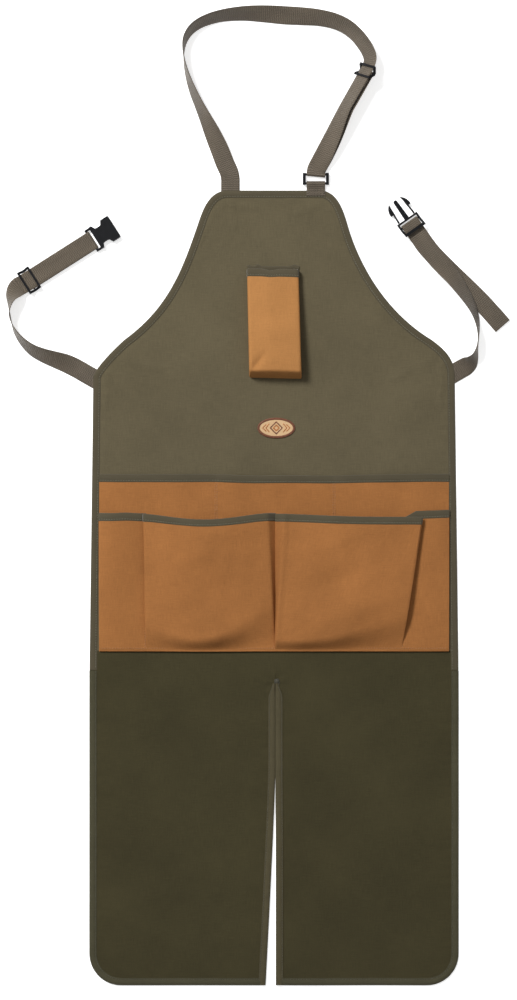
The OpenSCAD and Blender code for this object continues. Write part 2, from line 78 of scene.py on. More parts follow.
def ripple(x, y, size, seed, count=9):
    """Smooth seeded noise, about -1 to 1, with features about size mm across."""
    rng = np.random.default_rng(seed)
    angles = rng.uniform(0, math.tau, count)
    phases = rng.uniform(0, math.tau, count)
    pitches = size * rng.uniform(0.7, 1.6, count)
    total = 0.0
    for a, p, s in zip(angles, phases, pitches):
        total = total + np.sin(math.tau / s * (x * math.cos(a) + y * math.sin(a)) + p)
    return total / math.sqrt(count) * 0.8


def smoothstep(a, b, x):
    t = np.clip((x - a) / (b - a), 0, 1)
    return t * t * (3 - 2 * t)


def bezier(a, b, c, d, n):
    t = np.linspace(0, 1, n + 1)[1:, None]
    a, b, c, d = (np.array(p, float) for p in (a, b, c, d))
    u = 1 - t
    return u**3 * a + 3 * u * u * t * b + 3 * u * t * t * c + t**3 * d


def lengths(points):
    """Length along a polyline up to each of its points."""
    gaps = np.linalg.norm(np.diff(points, axis=0), axis=1)
    return np.concatenate([[0], np.cumsum(gaps)])


def pick(points, s, at):
    """Points of a polyline at the lengths at. s is its own length at each point."""
    return np.stack([np.interp(at, s, points[:, k]) for k in range(points.shape[1])], 1)


def resample(points, step):
    """The same polyline with points about step apart."""
    points = np.asarray(points, float)
    s = lengths(points)
    return pick(points, s, np.linspace(0, s[-1], max(2, int(round(s[-1] / step)) + 1)))


def upright(line):
    """A stitch line with normals that all point up."""
    return line, np.tile(UP, (len(line), 1))


def leftward(p):
    """Unit normals to the left of a flat path."""
    d = unit(np.gradient(p, axis=0))
    return np.stack([-d[:, 1], d[:, 0]], 1)


def unit(v):
    return v / np.maximum(np.linalg.norm(v, axis=-1, keepdims=True), 1e-9)


def add_mesh(name, verts, faces, uvs, material, body, slot, sharp=38):
    """A mesh object from points in mm, riding on a body. uvs has one pair a face corner."""
    mesh = bpy.data.meshes.new(name)
    mesh.from_pydata((np.asarray(verts) * MM).tolist(), [], faces)
    if uvs is not None:
        layer = mesh.uv_layers.new(name="cloth")
        layer.data.foreach_set("uv", (np.asarray(uvs, float) * MM).ravel())
    mesh.materials.append(material)
    mesh.polygons.foreach_set("use_smooth", [True] * len(mesh.polygons))
    mesh.update()
    mesh.set_sharp_from_angle(angle=math.radians(sharp))
    obj = bpy.data.objects.new(name, mesh)
    bpy.context.scene.collection.objects.link(obj)
    if body:
        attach(obj, body)
    return obj


def grid_normals(p, flip):
    n = unit(np.cross(np.gradient(p, axis=1), np.gradient(p, axis=0)))
    return -n if flip else n


def shell(name, p, uv, material, body, slot, flip=False):
    """A closed sheet of cloth: p is a (rows, columns, 3) grid of its under side."""
    n = grid_normals(p, flip)
    rows, cols = p.shape[:2]
    verts = np.concatenate([(p + n * CLOTH).reshape(-1, 3), p.reshape(-1, 3)])
    k = rows * cols
    i, j = np.meshgrid(np.arange(rows - 1), np.arange(cols - 1), indexing="ij")
    a = (i * cols + j).ravel()
    top = np.stack([a, a + 1, a + cols + 1, a + cols], 1)
    if flip:
        top = top[:, ::-1]
    low = top[:, ::-1] + k
    edge = ([(0, c) for c in range(cols)] + [(r, cols - 1) for r in range(1, rows)]
            + [(rows - 1, c) for c in range(cols - 2, -1, -1)]
            + [(r, 0) for r in range(rows - 2, 0, -1)])
    ring = np.array([r * cols + c for r, c in edge])
    nxt = np.roll(ring, -1)
    wall = np.stack([nxt, ring, ring + k, nxt + k], 1)
    if flip:
        wall = wall[:, ::-1]
    faces = np.concatenate([top, low, wall])
    uvs = uv.reshape(-1, 2)[faces.ravel() % k]
    return add_mesh(name, verts, faces.tolist(), uvs, material, body, slot)


def panel(name, x, y, height, material, body, slot, flip=False):
    """A sheet laid over a height function: x and y are grids of its points. Gives its grid too."""
    p = np.stack([x, y, height(x, y)], 2)
    return p, shell(name, p, p[..., :2], material, body, slot, flip)


def sweep(name, rings, along, around, material, body, slot, sharp=50):
    """A solid from closed rings of points, capped at both ends."""
    n, m = rings.shape[:2]
    i, j = np.meshgrid(np.arange(n - 1), np.arange(m), indexing="ij")
    i, j = i.ravel(), j.ravel()
    k = (j + 1) % m
    quads = np.stack([i * m + j, i * m + k, (i + 1) * m + k, (i + 1) * m + j], 1)
    uv = np.stack([around[j], along[i], around[j + 1], along[i],
                   around[j + 1], along[i + 1], around[j], along[i + 1]], 1).reshape(-1, 2)
    faces = quads.tolist()
    faces += [list(range(m))[::-1], list(range((n - 1) * m, n * m))]
    cap = np.stack([around[:m], np.zeros(m)], 1)
    uv = np.concatenate([uv, cap[::-1], cap])
    return add_mesh(name, rings.reshape(-1, 3), faces, uv, material, body, slot, sharp)


def stitches(name, centres, axes, ups, length, stations, rise, r, material, body, slot, capped):
    """Short threads, one at each centre. A station is (share of the length, fatness, lift)."""
    side = unit(np.cross(ups, axes))
    rings = []
    for t, fat, lift in stations:
        for q in range(SIDES):
            angle = math.tau * q / SIDES
            rings.append(centres + axes * t * length + side * r * fat * math.cos(angle)
                         + ups * (r * fat * math.sin(angle) + rise + lift * r))
    n = len(rings)
    quads = np.array([[a + q, a + (q + 1) % SIDES, a + SIDES + (q + 1) % SIDES, a + SIDES + q]
                      for a in range(0, n - SIDES, SIDES) for q in range(SIDES)])
    starts = np.arange(len(centres)) * n
    faces = (quads[None] + starts[:, None, None]).reshape(-1, 4).tolist()
    if capped:
        caps = list(range(SIDES))[::-1], list(range(n - SIDES, n))
        faces += [[v + int(s) for v in cap] for s in starts for cap in caps]
    verts = np.stack(rings, 1).reshape(-1, 3)
    return add_mesh(name, verts, faces, None, material, body, slot, 80)


def thread(name, lines, material, body, slot, r=0.34):
    """Rows of stitches. Each line is (points, normals), both in mm."""
    length, pitch = 2.7, 3.5
    centres, axes, ups = [], [], []
    for points, normals in lines:
        s = lengths(points)
        at = np.arange(pitch * 0.6, s[-1] - pitch * 0.4, pitch)
        if len(at) == 0:
            continue
        start, end = pick(points, s, at - 0.5), pick(points, s, at + 0.5)
        centres.append((start + end) / 2)
        axes.append(unit(end - start))
        ups.append(unit(pick(normals, s, at)))
    stations = (-0.5, 0.35, -0.3), (-0.3, 1, 0.3), (0, 1.1, 0.55), (0.3, 1, 0.3), (0.5, 0.35, -0.3)
    return stitches(name, *(np.concatenate(x) for x in (centres, axes, ups)), length, stations,
                    0.2, r, material, body, slot, True)


# ---- materials


class Nodes:
    """A material's node tree, with short ways to add and join nodes."""

    def __init__(self, name):
        self.material = bpy.data.materials.new(name)
        self.material.use_nodes = True
        self.tree = self.material.node_tree
        self.shader = self.tree.nodes["Principled BSDF"]

    def add(self, kind, **settings):
        node = self.tree.nodes.new("ShaderNode" + kind)
        inputs = settings.pop("inputs", {})
        for key, value in settings.items():
            setattr(node, key, value)
        for key, value in inputs.items():
            self.put(node, key, value)
        return node

    def put(self, node, key, value):
        socket = node.inputs[key]
        if isinstance(value, bpy.types.NodeSocket):
            self.tree.links.new(value, socket)
        else:
            socket.default_value = value

    def math(self, operation, a, b=0.0):
        node = self.add("Math", operation=operation, inputs={0: a, 1: b})
        return node.outputs[0]

    def total(self, first, *others):
        for other in others:
            first = self.math("ADD", first, other)
        return first

    def weighted(self, a, of_a, b, of_b):
        return self.total(self.math("MULTIPLY", a, of_a), self.math("MULTIPLY", b, of_b))

    def cords(self, value, pitch):
        """Rounded cords, 0 between them and 1 along their tops."""
        return self.math("ABSOLUTE", self.math("SINE", self.math("MULTIPLY", value, math.pi / pitch)))

    def cloth_map(self):
        """The flat cloth's UV map, and its two parts."""
        uv = self.add("UVMap", uv_map="cloth").outputs[0]
        split = self.add("SeparateXYZ", inputs={"Vector": uv})
        return uv, split.outputs[0], split.outputs[1]

    def noise(self, vector, scale, detail=3.0, rough=0.55):
        node = self.add("TexNoise", inputs={"Vector": vector, "Scale": scale, "Detail": detail,
                                            "Roughness": rough})
        return node.outputs["Fac"]

    def stretch(self, vector, x, y, z=1.0, turn=0.0):
        node = self.add("Mapping", inputs={"Vector": vector, "Scale": (x, y, z),
                                           "Rotation": (0.0, 0.0, turn)})
        return node.outputs[0]

    def ramp(self, value, low, high, a, b):
        node = self.add("MapRange", inputs={"Value": value, "From Min": low, "From Max": high,
                                            "To Min": a, "To Max": b})
        return node.outputs[0]

    def about(self, noise, reach):
        """Noise spread evenly about 0."""
        return self.ramp(noise, 0.3, 0.7, -reach, reach)

    def mix(self, factor, a, b):
        node = self.add("Mix", data_type="RGBA", blend_type="MIX")
        self.put(node, "Factor", factor)
        for key, value in ((6, a), (7, b)):
            if isinstance(value, tuple):
                value = (*value, 1.0)
            self.put(node, key, value)
        return node.outputs[2]

    def shade(self, tone, gain, colour, dark, light):
        """The colour, from its dark to its light version as the tone rises through 0."""
        value = self.total(self.math("MULTIPLY", tone, gain), 0.5)
        factor = self.add("Clamp", inputs={"Value": value})
        return self.mix(factor.outputs[0], scaled(colour, dark), scaled(colour, light))

    def bump(self, height, strength, distance, before=None):
        node = self.add("Bump", inputs={"Height": height, "Strength": strength, "Distance": distance})
        if before is not None:
            self.put(node, "Normal", before)
        return node.outputs[0]

    def finish(self, **values):
        for key, value in values.items():
            self.put(self.shader, key.replace("_", " "), value)
        return self.material


def rgb(r, g, b):
    """sRGB numbers of 0 to 255 as linear ones."""
    return tuple(c / 12.92 if c <= 0.04045 else ((c + 0.055) / 1.055) ** 2.4
                 for c in (r / 255, g / 255, b / 255))


def scaled(colour, k):
    return tuple(min(1.0, c * k) for c in colour)


def canvas(name, colour, light=1.16, dark=0.84, pitch=0.95, sheen=0.25, slub=1.0):
    """Plain-woven cotton canvas. Its threads follow the flat cloth through the UV map. Its colour carries
    painted shade in the dips between the threads and painted light on their tops.
    """
    m = Nodes(name)
    uv, u, v = m.cloth_map()
    per_m = math.pi / (pitch * MM)
    su, sv = (m.math("SINE", m.math("MULTIPLY", part, per_m)) for part in (u, v))
    over = m.math("GREATER_THAN", m.math("MULTIPLY", su, sv), 0.0)
    crossing = m.weighted(over, m.math("ABSOLUTE", su), m.math("SUBTRACT", 1.0, over), m.math("ABSOLUTE", sv))
    slub_x = m.noise(m.stretch(uv, 60, 1400), 1.0, 2.0)
    slub_y = m.noise(m.stretch(uv, 1400, 60), 1.0, 2.0)
    threads = m.math("MULTIPLY", m.total(slub_x, slub_y), 0.5)
    cloud = m.noise(uv, 9.0, 4.0, 0.6)
    grain = m.noise(uv, 420.0, 2.0, 0.6)
    # painted shade and light: the crossing term darkens the colour where the threads dip between crossings
    # and lightens it on their tops, the same relief that the bump gives
    tone = m.total(m.about(cloud, 0.5), m.ramp(threads, 0.35, 0.65, -0.6 * slub, 0.6 * slub),
                   m.about(grain, 0.25), m.ramp(crossing, 0.0, 1.0, -0.22, 0.12))
    fine = m.bump(m.weighted(crossing, 0.6, threads, 0.7), 0.55, 0.0004)
    return m.finish(Base_Color=m.shade(tone, 0.62, colour, dark, light),
                    Roughness=m.ramp(grain, 0.2, 0.8, 0.82, 0.96),
                    Normal=m.bump(m.noise(uv, 34.0, 3.0, 0.6), 0.25, 0.0022, fine), Sheen_Weight=sheen,
                    Sheen_Roughness=0.5, Sheen_Tint=(*scaled(colour, 1.8), 1.0), Specular_IOR_Level=0.16)


def tape(name, colour):
    """Ribbed binding tape: fine cords along its length with a cross weave, with painted shade in the grooves
    between the cords and painted light on their tops.
    """
    m = Nodes(name)
    uv, u, v = m.cloth_map()
    weave = m.weighted(m.cords(u, 0.0011), 0.6, m.cords(v, 0.0008), 0.4)
    cloud = m.noise(m.stretch(uv, 120, 14), 1.0, 3.0)
    grain = m.noise(uv, 900.0, 2.0)
    # painted shade and light: the weave term darkens the colour in the grooves between the cords and lightens
    # it on their tops
    tone = m.total(m.about(cloud, 0.3), m.ramp(weave, 0.0, 1.0, -0.35, 0.3),
                   m.about(grain, 0.2))
    return m.finish(Base_Color=m.shade(tone, 0.6, colour, 0.8, 1.2),
                    Roughness=m.ramp(grain, 0.2, 0.8, 0.75, 0.9), Normal=m.bump(weave, 0.6, 0.0004),
                    Sheen_Weight=0.3, Sheen_Roughness=0.45, Specular_IOR_Level=0.25)


def webbing(name, colour):
    """Woven strap: chevron twill across its width, with smooth selvedges. Its colour carries painted shade in
    the grooves between the ribs and painted light on their tops.
    """
    m = Nodes(name)
    uv, u, v = m.cloth_map()
    column = 0.0042
    zig = m.math("ABSOLUTE", m.math("SUBTRACT", m.math("FRACT", m.math("DIVIDE", u, column)), 0.5))
    slanted = m.total(m.math("DIVIDE", v, 0.0025), m.math("MULTIPLY", zig, 0.7))
    weave = m.weighted(m.cords(slanted, 1.0), 0.75, m.cords(u, column / 2), 0.25)
    cloud = m.noise(m.stretch(uv, 40, 12), 1.0, 3.0)
    grain = m.noise(m.stretch(uv, 1500, 350), 1.0, 2.0)
    # painted shade and light: the weave term darkens the colour in the grooves between the ribs and lightens
    # their tops; the wide 0.42 to 1.75 span below makes this strong
    tone = m.total(m.about(cloud, 0.25), m.ramp(weave, 0.1, 0.95, -0.5, 0.42),
                   m.about(grain, 0.2))
    return m.finish(Base_Color=m.shade(tone, 0.62, colour, 0.42, 1.75),
                    Roughness=m.ramp(grain, 0.2, 0.8, 0.55, 0.75), Normal=m.bump(weave, 1.0, 0.0007),
                    Sheen_Weight=0.2, Sheen_Roughness=0.4, Specular_IOR_Level=0.35)


def plastic(name, colour):
    """Moulded acetal with a fine spark-eroded grain, worn a little paler where it rubs."""
    m = Nodes(name)
    where = m.add("TexCoord").outputs["Object"]
    grain = m.noise(where, 2600.0, 2.0, 0.6)
    wear = m.noise(where, 130.0, 4.0, 0.65)
    base = m.mix(m.ramp(wear, 0.45, 0.75, 0.0, 0.7), colour, scaled(colour, 1.9))
    rough = m.math("ADD", m.ramp(grain, 0.3, 0.7, 0.34, 0.46), m.ramp(wear, 0.4, 0.7, 0.0, 0.1))
    return m.finish(Base_Color=base, Roughness=rough, Normal=m.bump(grain, 0.25, 0.0001),
                    Specular_IOR_Level=0.13)


def yarn(name, colour):
    """Sewing or embroidery thread."""
    m = Nodes(name)
    where = m.add("TexCoord").outputs["Object"]
    tone = m.noise(where, 500.0, 3.0)
    twist = m.noise(m.stretch(where, 2500, 2500, 2500, 0.6), 1.0, 1.0)
    base = m.mix(m.ramp(tone, 0.3, 0.7, 0.0, 1.0), scaled(colour, 0.75), scaled(colour, 1.25))
    return m.finish(Base_Color=base, Roughness=0.6, Normal=m.bump(twist, 0.5, 0.0001),
                    Sheen_Weight=0.3, Sheen_Roughness=0.4)


OLIVE = canvas("olive_canvas", rgb(92, 84, 64))
DARK = canvas("dark_olive_canvas", rgb(62, 57, 37), light=1.22, dark=0.8, slub=0.8, sheen=0.12)
TAN = canvas("tan_canvas", rgb(156, 103, 57), light=1.14, dark=0.8)
PALE_TAN = canvas("pale_tan_canvas", rgb(170, 119, 69), light=1.1, dark=0.86)
TAPE = tape("green_tape", rgb(76, 69, 52))
LEG_TAPE = canvas("leg_hem_canvas", rgb(72, 69, 52), slub=0.8, sheen=0.12)
SLIT_TAPE = canvas("slit_hem_canvas", rgb(78, 72, 53), slub=0.8, sheen=0.12)
WEB = webbing("olive_webbing", rgb(86, 77, 65))
BLACK = plastic("black_acetal", rgb(9, 10, 13))
GREEN_THREAD = yarn("green_thread", rgb(96, 94, 76))
DARK_THREAD = yarn("dark_thread", rgb(66, 62, 45))
KNOT_THREAD = yarn("knot_thread", rgb(56, 53, 38))
TAN_THREAD = yarn("tan_thread", rgb(150, 104, 62))
WEB_THREAD = yarn("webbing_thread", rgb(82, 74, 60))

# ---- the lie of the cloth


def pucker(across, along, pitch=13.0, reach=14.0, depth=0.35, seed=0):
    """Small gathers beside a seam: across is the distance from it, along runs beside it."""
    wander = ripple(along, across * 0, 60, 50 + seed, 5)
    return depth * np.sin(math.tau * along / pitch + 2.2 * wander) * np.exp(-np.abs(across) / reach)


# Soft folds that run out from where the straps pull: two ends, half width and height.
CREASES = (
    ((-66, 228), (-24, 224), 5.0, 0.8), ((-84, 214), (-99, 176), 6.0, 0.8),
    ((-58, 232), (-52, 196), 5.0, 0.6), ((60, 228), (30, 216), 5.0, 0.7),
    ((74, 220), (90, 184), 6.0, 0.8), ((50, 230), (44, 205), 5.0, 0.5),
    ((-224, 2), (-226, -46), 5.0, 0.9), ((-214, 24), (-150, 8), 7.0, 0.7),
    ((226, 12), (222, -40), 5.0, 0.8), ((212, 22), (158, -6), 7.0, 0.6),
    ((-224, -60), (-228, -120), 6.0, 0.5))


def ground(x, y):
    """Height of the under side of the base cloth as it lies on the table."""
    z = 0.75 + 0.55 * ripple(x, y, 210, 1) + 0.28 * ripple(x, y, 80, 2)
    diagonal = np.exp(-((x + 0.55 * y - 60) / 26) ** 2)
    z = z + 0.35 * diagonal * smoothstep(230, 40, y) * smoothstep(-120, -20, y)
    z = z + 0.9 * smoothstep(-390, -470, y) * (0.5 + 0.5 * ripple(x, y, 190, 3))
    side = WAIST_HALF + (HEM_HALF - WAIST_HALF) * np.clip(-y / 395, 0, 1)
    z = z + pucker(side - 9 - np.abs(x), y, 14, 12, 0.22)
    for a, b, wide, deep in CREASES:
        t = np.clip(((x - a[0]) * (b[0] - a[0]) + (y - a[1]) * (b[1] - a[1]))
                    / ((b[0] - a[0]) ** 2 + (b[1] - a[1]) ** 2), 0, 1)
        off = np.hypot(x - a[0] - t * (b[0] - a[0]), y - a[1] - t * (b[1] - a[1]))
        z = z + deep * np.exp(-((off / (wide * (1.2 - 0.6 * t))) ** 2))
    return np.maximum(z, 0.12)


def bib_z(x, y):
    """Upper side of the bib."""
    return ground(x, y) + CLOTH


# Right half of the bib's edge, from the seam up to where the corner meets the straight top.
bib_edge = np.concatenate([
    [[HEM_HALF, SEAM_Y], [WAIST_HALF, -4]],
    bezier((WAIST_HALF, -4), (WAIST_HALF, 16), (235, 29), (210, 46.5), 16),
    bezier((210, 46.5), (150, 83), (112, 146), (96.5, 204), 24),
    bezier((96.5, 204), (91, 222), (83, BIB_TOP), (62, BIB_TOP), 20)])
# The left half, as if on the right. The cloth lies a little further in there.
left_edge = np.concatenate([
    [[HEM_HALF, SEAM_Y], [WAIST_HALF, -4]],
    bezier((WAIST_HALF, -4), (WAIST_HALF, 4), (224, 24), (200, 46), 16),
    bezier((200, 46), (140, 90), (122, 140), (100.5, 203), 24),
    bezier((100.5, 203), (93, 226), (84, BIB_TOP), (62, BIB_TOP), 20)])


def bib_half(y, edge):
    """Half width of the bib at height y."""
    return np.interp(y, edge[:, 1] + np.arange(len(edge)) * 1e-6, edge[:, 0])


def edge_band(name, path, base, material, body, slot, width=9.0, front=0.55, lap=1.1, groove=7.0,
              lift=0.0, puff=0.35, taper_from=None):
    """Tape or a turned hem folded over an edge. The cloth lies to the path's left, and base is the
    height of its under side. The band narrows towards y = taper_from. Gives its stitch line too."""
    p = resample(path, STEP)
    n = leftward(p)
    narrow = 1.0 if taper_from is None else 0.42 + 0.58 * smoothstep(0, 20, taper_from - p[:, 1:])
    top = CLOTH + front + lift
    profile = [(width, CLOTH + 0.05 + lift), (width - 0.5, top - 0.12), (groove + 1.2, top),
               (groove, top - 0.28), (groove - 1.2, top + puff * 0.5), (groove * 0.5, top + puff),
               (1.6, top + puff * 0.7), (0.4, top),
               (-lap * 0.7, top - 0.45), (-lap, top * 0.5), (-lap * 0.7, 0.12), (0.6, -0.1),
               (width * 0.6, -0.12), (width, -0.1), (width - 0.3, 0.03), (0.5, 0.03), (0.45 - lap, 0.35),
               (0.45 - lap, top * 0.55), (0.5, CLOTH + 0.02 + lift), (width - 0.3, CLOTH + 0.02 + lift)]
    rings = []
    for inset, z in profile:
        xy = p + n * (inset * narrow if inset > 1 else inset)
        rings.append(np.column_stack([xy, np.maximum(base(xy[:, 0], xy[:, 1]) + z, 0.02)]))
    rings = np.stack(rings, 1)
    around = lengths(np.array(profile + [profile[0]]))
    obj = sweep(name, rings, lengths(p), around, material, body, slot)
    stitch = p + n * groove * narrow
    return obj, upright(np.column_stack([stitch, base(stitch[:, 0], stitch[:, 1]) + top - 0.28]))


def flat_line(points, base, height):
    """A stitch line above a surface: points in x and y, and the surface's height function."""
    p = resample(points, STEP)
    return upright(np.column_stack([p, base(p[:, 0], p[:, 1]) + height]))


# ---- bib
rows = np.concatenate([np.linspace(POCKET_Y + 0.4, 190, 240),
                       190 + (BIB_TOP - 190) * np.sin(np.linspace(0, math.pi / 2, 30))[1:]])
u = np.linspace(-1, 1, 183)
halves = [bib_half(rows, edge) for edge in (left_edge, bib_edge)]
X = np.where(u < 0, halves[0][:, None] * u, halves[1][:, None] * u)
Y = np.repeat(rows[:, None], len(u), 1)
_, bib = panel("bib", X, Y, ground, OLIVE, "apron", "bib_canvas")
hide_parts("bib_panel")

around_bib = np.concatenate([bib_edge, left_edge[::-1] * [-1, 1]])
binding, binding_line = edge_band("bib_binding_tape", around_bib, ground, TAPE, "apron", "trim_tape")
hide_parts("bib_binding")
lengths(around_bib)[-1]
apron_lines = [binding_line]

# ---- legs


def leg_outer(y):
    """Outer edge of the skirt at height y."""
    bend = HEM_R - np.sqrt(np.maximum(HEM_R**2 - (HEM_TURN - y) ** 2, 0))
    return HEM_OUT - np.where(y < HEM_TURN, bend, 0)


def leg_inner(y, side):
    """How far a leg's inner edge lies out from the centre line, towards its own side."""
    opening = np.clip((SLIT_OPEN - y) / (SLIT_OPEN - HEM_Y), 0, 1)
    gap = 0.3 + (0.6 * smoothstep(0, 0.4, opening) if side > 0 else 13.4 * opening**1.15)
    return side * SLIT_X + np.where(y > SLIT_TOP, 0.0, gap)


def leg_ground(x, y):
    """Height of a leg's under side."""
    z = ground(x, y)
    # small folds that run out from the knot at the top of the slit
    dx, dy = x - SLIT_X, y - SLIT_TOP
    rays = 0.5 + 0.5 * np.cos(5 * np.arctan2(dy, dx) - 2)
    z = z + 1.1 * np.exp(-((np.hypot(dx, dy) - 10) / 7.0) ** 2) * rays
    beside = (np.abs(x) < 20) & (y < SLIT_TOP)
    return z + np.where(beside, pucker(np.abs(x) - 9, y, 16, 10, 0.25, 4), 0)


leg_rows = np.concatenate([np.linspace(POCKET_Y + 0.6, HEM_TURN, 150),
                           HEM_TURN - HEM_R * np.sin(np.linspace(0, math.pi / 2, 18))[1:]])
for side, word in ((1, "right"), (-1, "left")):
    t = np.linspace(0, 1, 84)
    xin, xout = leg_inner(leg_rows, side), leg_outer(leg_rows)
    X = side * (xin[:, None] + (xout - xin)[:, None] * t[None])
    Y = np.repeat(leg_rows[:, None], len(t), 1)
    _, leg = panel(word + "_skirt", X, Y, leg_ground, DARK, None, "leg_canvas", side > 0)
    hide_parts(word + "_leg_panel", *(["skirt_yoke"] if side > 0 else []))
    corner = [(HEM_OUT - HEM_R + HEM_R * math.cos(a), HEM_TURN - HEM_R * math.sin(a))
              for a in np.linspace(0, math.pi / 2, 16)]
    inner_hem = float(leg_inner(np.array([HEM_Y]), side)[0])
    outer = [(HEM_OUT, y) for y in np.linspace(SEAM_Y - 1, HEM_TURN, 60)] + corner[1:] + [(inner_hem, HEM_Y)]
    outer = np.array(outer) * [side, 1]
    slit_y = np.linspace(SLIT_TOP, HEM_Y, 90)
    slit = np.column_stack([side * leg_inner(slit_y - 0.01, side), slit_y])
    if side > 0:
        outer = outer[::-1]
    else:
        slit = slit[::-1]
    bands = []
    for name, path, lift, hem_cloth in (("hem", outer, 0.0, LEG_TAPE), ("slit_hem", slit, 0.25, SLIT_TAPE)):
        band, line = edge_band(f"{word}_{name}", path, leg_ground, hem_cloth, None, "leg_trim",
                               width=9.5, front=0.7, lap=0.5, groove=8.0, lift=lift, puff=0.8,
                               taper_from=SLIT_TOP if name == "slit_hem" else None)
        bands.append(band)
        lengths(path)[-1]
        bands.append(thread(f"{word}_{name}_stitches", [line], DARK_THREAD, None, "leg_trim"))
    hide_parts(word + "_leg_binding")
    for piece in [leg] + bands:
        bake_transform(piece)

# ---- pockets
SEAMS = (-ROW_HALF, -79.0, 79.0, ROW_HALF)


def upper_z(x, y):
    """Under side of the upper row's panel."""
    d = -134 - y
    z = bib_z(x, y) + 0.15
    for a, b, tall in zip(SEAMS, SEAMS[1:], (4.6, 3.4, 5.2)):
        w = np.clip((x - a) / (b - a), 0, 1)
        z = z + tall * np.sin(math.pi * w) ** 0.7 * (0.18 + 0.82 * np.exp(-np.maximum(d, 0) / 42))
    z = z + 0.5 * ripple(x, y, 55, 11) * (0.3 + np.exp(-np.maximum(d, 0) / 60))
    for a in SEAMS[1:3]:
        z = z + pucker(x - a, y, 11, 9, 0.25, 2)
    return np.maximum(z, bib_z(x, y) + 0.1)


def pocket(name, xs, ds, place, height):
    """A flat pocket. Its points lie at depths ds below its mouth, and place(x, d) gives x and y."""
    return panel(name, *place(*np.meshgrid(xs, ds)), height, TAN, "apron", "pocket_canvas", True)


def hem_tape(name, p, depths, flip=True):
    """Tape folded over a mouth. p is the sheet's grid, whose first row is the mouth, and depths
    its rows. Gives its stitch line too."""
    width, groove = 9.6, 1.35
    n = grid_normals(p, flip)
    mouth = p[0]
    down = unit(p[2] - p[0])

    def at(depth):
        k = np.searchsorted(depths, depth)
        w = (depth - depths[k - 1]) / (depths[k] - depths[k - 1])
        return p[k - 1] * (1 - w) + p[k] * w, unit(n[k - 1] * (1 - w) + n[k] * w)

    def raised(depth, lift):
        q, m = at(depth)
        return q + m * lift

    front = [(width, 1.05), (width - 0.6, 1.55), (width - 1.6, 1.62), (width - 2.4, groove),
             (width - 3.2, 1.62), (4.0, 1.7), (1.0, 1.6)]
    back = [(1.0, -0.5), (width * 0.6, -0.45), (width, -0.4), (width - 0.3, -0.02), (1.0, -0.02)]
    rings = [raised(*step) for step in front]
    rings += [mouth - down * out + n[0] * lift for out, lift in ((0.7, 1.3), (1.1, 0.5), (0.7, -0.3))]
    rings += [raised(*step) for step in back]
    rings += [mouth - down * 0.5 + n[0] * lift for lift in (0.2, 0.9)]
    rings += [raised(depth, 1.03) for depth in (1.0, width - 0.3)]
    rings = np.stack(rings, 1)
    obj = sweep(name, rings, lengths(mouth), np.append(lengths(rings[0]), 40.0), TAPE, "apron", "trim_tape")
    q, m = at(width - 2.4)
    return obj, (q + m * groove, m)


def folded_row(points, wall, face, rounds, base):
    """A row of a pocket with folded sides, from seam to seam: (wall, face) steps up each side and
    across the front, rounded and raised onto base. Gives the lengths along the row too."""
    s = lengths(points)
    share = np.concatenate([np.linspace(0, s[1], wall)[:-1], np.linspace(s[1], s[-2], face),
                            np.linspace(s[-2], s[-1], wall)[1:]])
    line = pick(points, s, share)
    for _ in range(rounds):
        line[1:-1] = 0.5 * line[1:-1] + 0.25 * (line[:-2] + line[2:])
    line[:, 2] += base(line[:, 0], line[:, 1])
    return line, share


hem_depths = np.array([0, 1.2, 2.4, 3.6, 4.8, 6.0, 7.2, 8.4, 9.6, 10.8])
deep = np.concatenate([hem_depths, np.linspace(13.5, 237, 84)])
xs = np.linspace(-ROW_HALF, ROW_HALF, 180)


def upper_place(x, d):
    sag = 1.6 * np.sin(math.pi * np.clip((x + ROW_HALF) / (2 * ROW_HALF), 0, 1)) + ripple(x, 0 * x, 130, 7)
    return x, -133.5 - sag * np.exp(-d / 60) - d


grid, upper = pocket("upper_row", xs, deep, upper_place, upper_z)
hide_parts("upper_pocket_panel")
upper_hem, line = hem_tape("upper_row_hem", grid, deep)
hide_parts("upper_pocket_hem")
apron_lines.append(line)
tan_lines = [flat_line([(a + off, -144), (a + off, -366)], upper_z, CLOTH)
             for a in SEAMS[1:3] for off in (0, 2.6)]

L_ROW = 184.0                      # from the lower row's mouth to its seam


def lower_base(x, y):
    """Height of what the lower row is sewn on."""
    return bib_z(x, y) + 2.5


def side_pocket(name, x0, x1, top, tall, lean, hidden, seed):
    """A flat pocket at one side. Its mouth drops by the hidden slope where the bellows covers it."""
    depth = top - POCKET_Y
    ds = np.concatenate([hem_depths, np.linspace(13, depth, 56)])

    def place(x, d):
        fade = 1 - d / depth
        dip = np.where(x < 190, (190 - x) * hidden, 0) + (x1 - x) * 0.05 * (hidden > 0)
        return x, top - d - dip * fade + 0.8 * ripple(x, 0 * x, 50, seed) * np.exp(-d / 40)

    def height(x, y):
        w = np.clip((x - x0) / (x1 - x0), 0, 1) ** lean
        t = np.clip(np.maximum(top - y, 0) / depth, 0, 1)
        crown = tall * np.sin(math.pi * w) ** 0.85 * (1 - t**5) * (0.8 + 0.2 * np.cos(4 * t))
        return lower_base(x, y) + crown + 0.35 * ripple(x, y, 42, seed + 1) * (1 - t)

    grid, piece = pocket(name, np.linspace(x0, x1, 40), ds, place, height)
    return grid, ds, piece


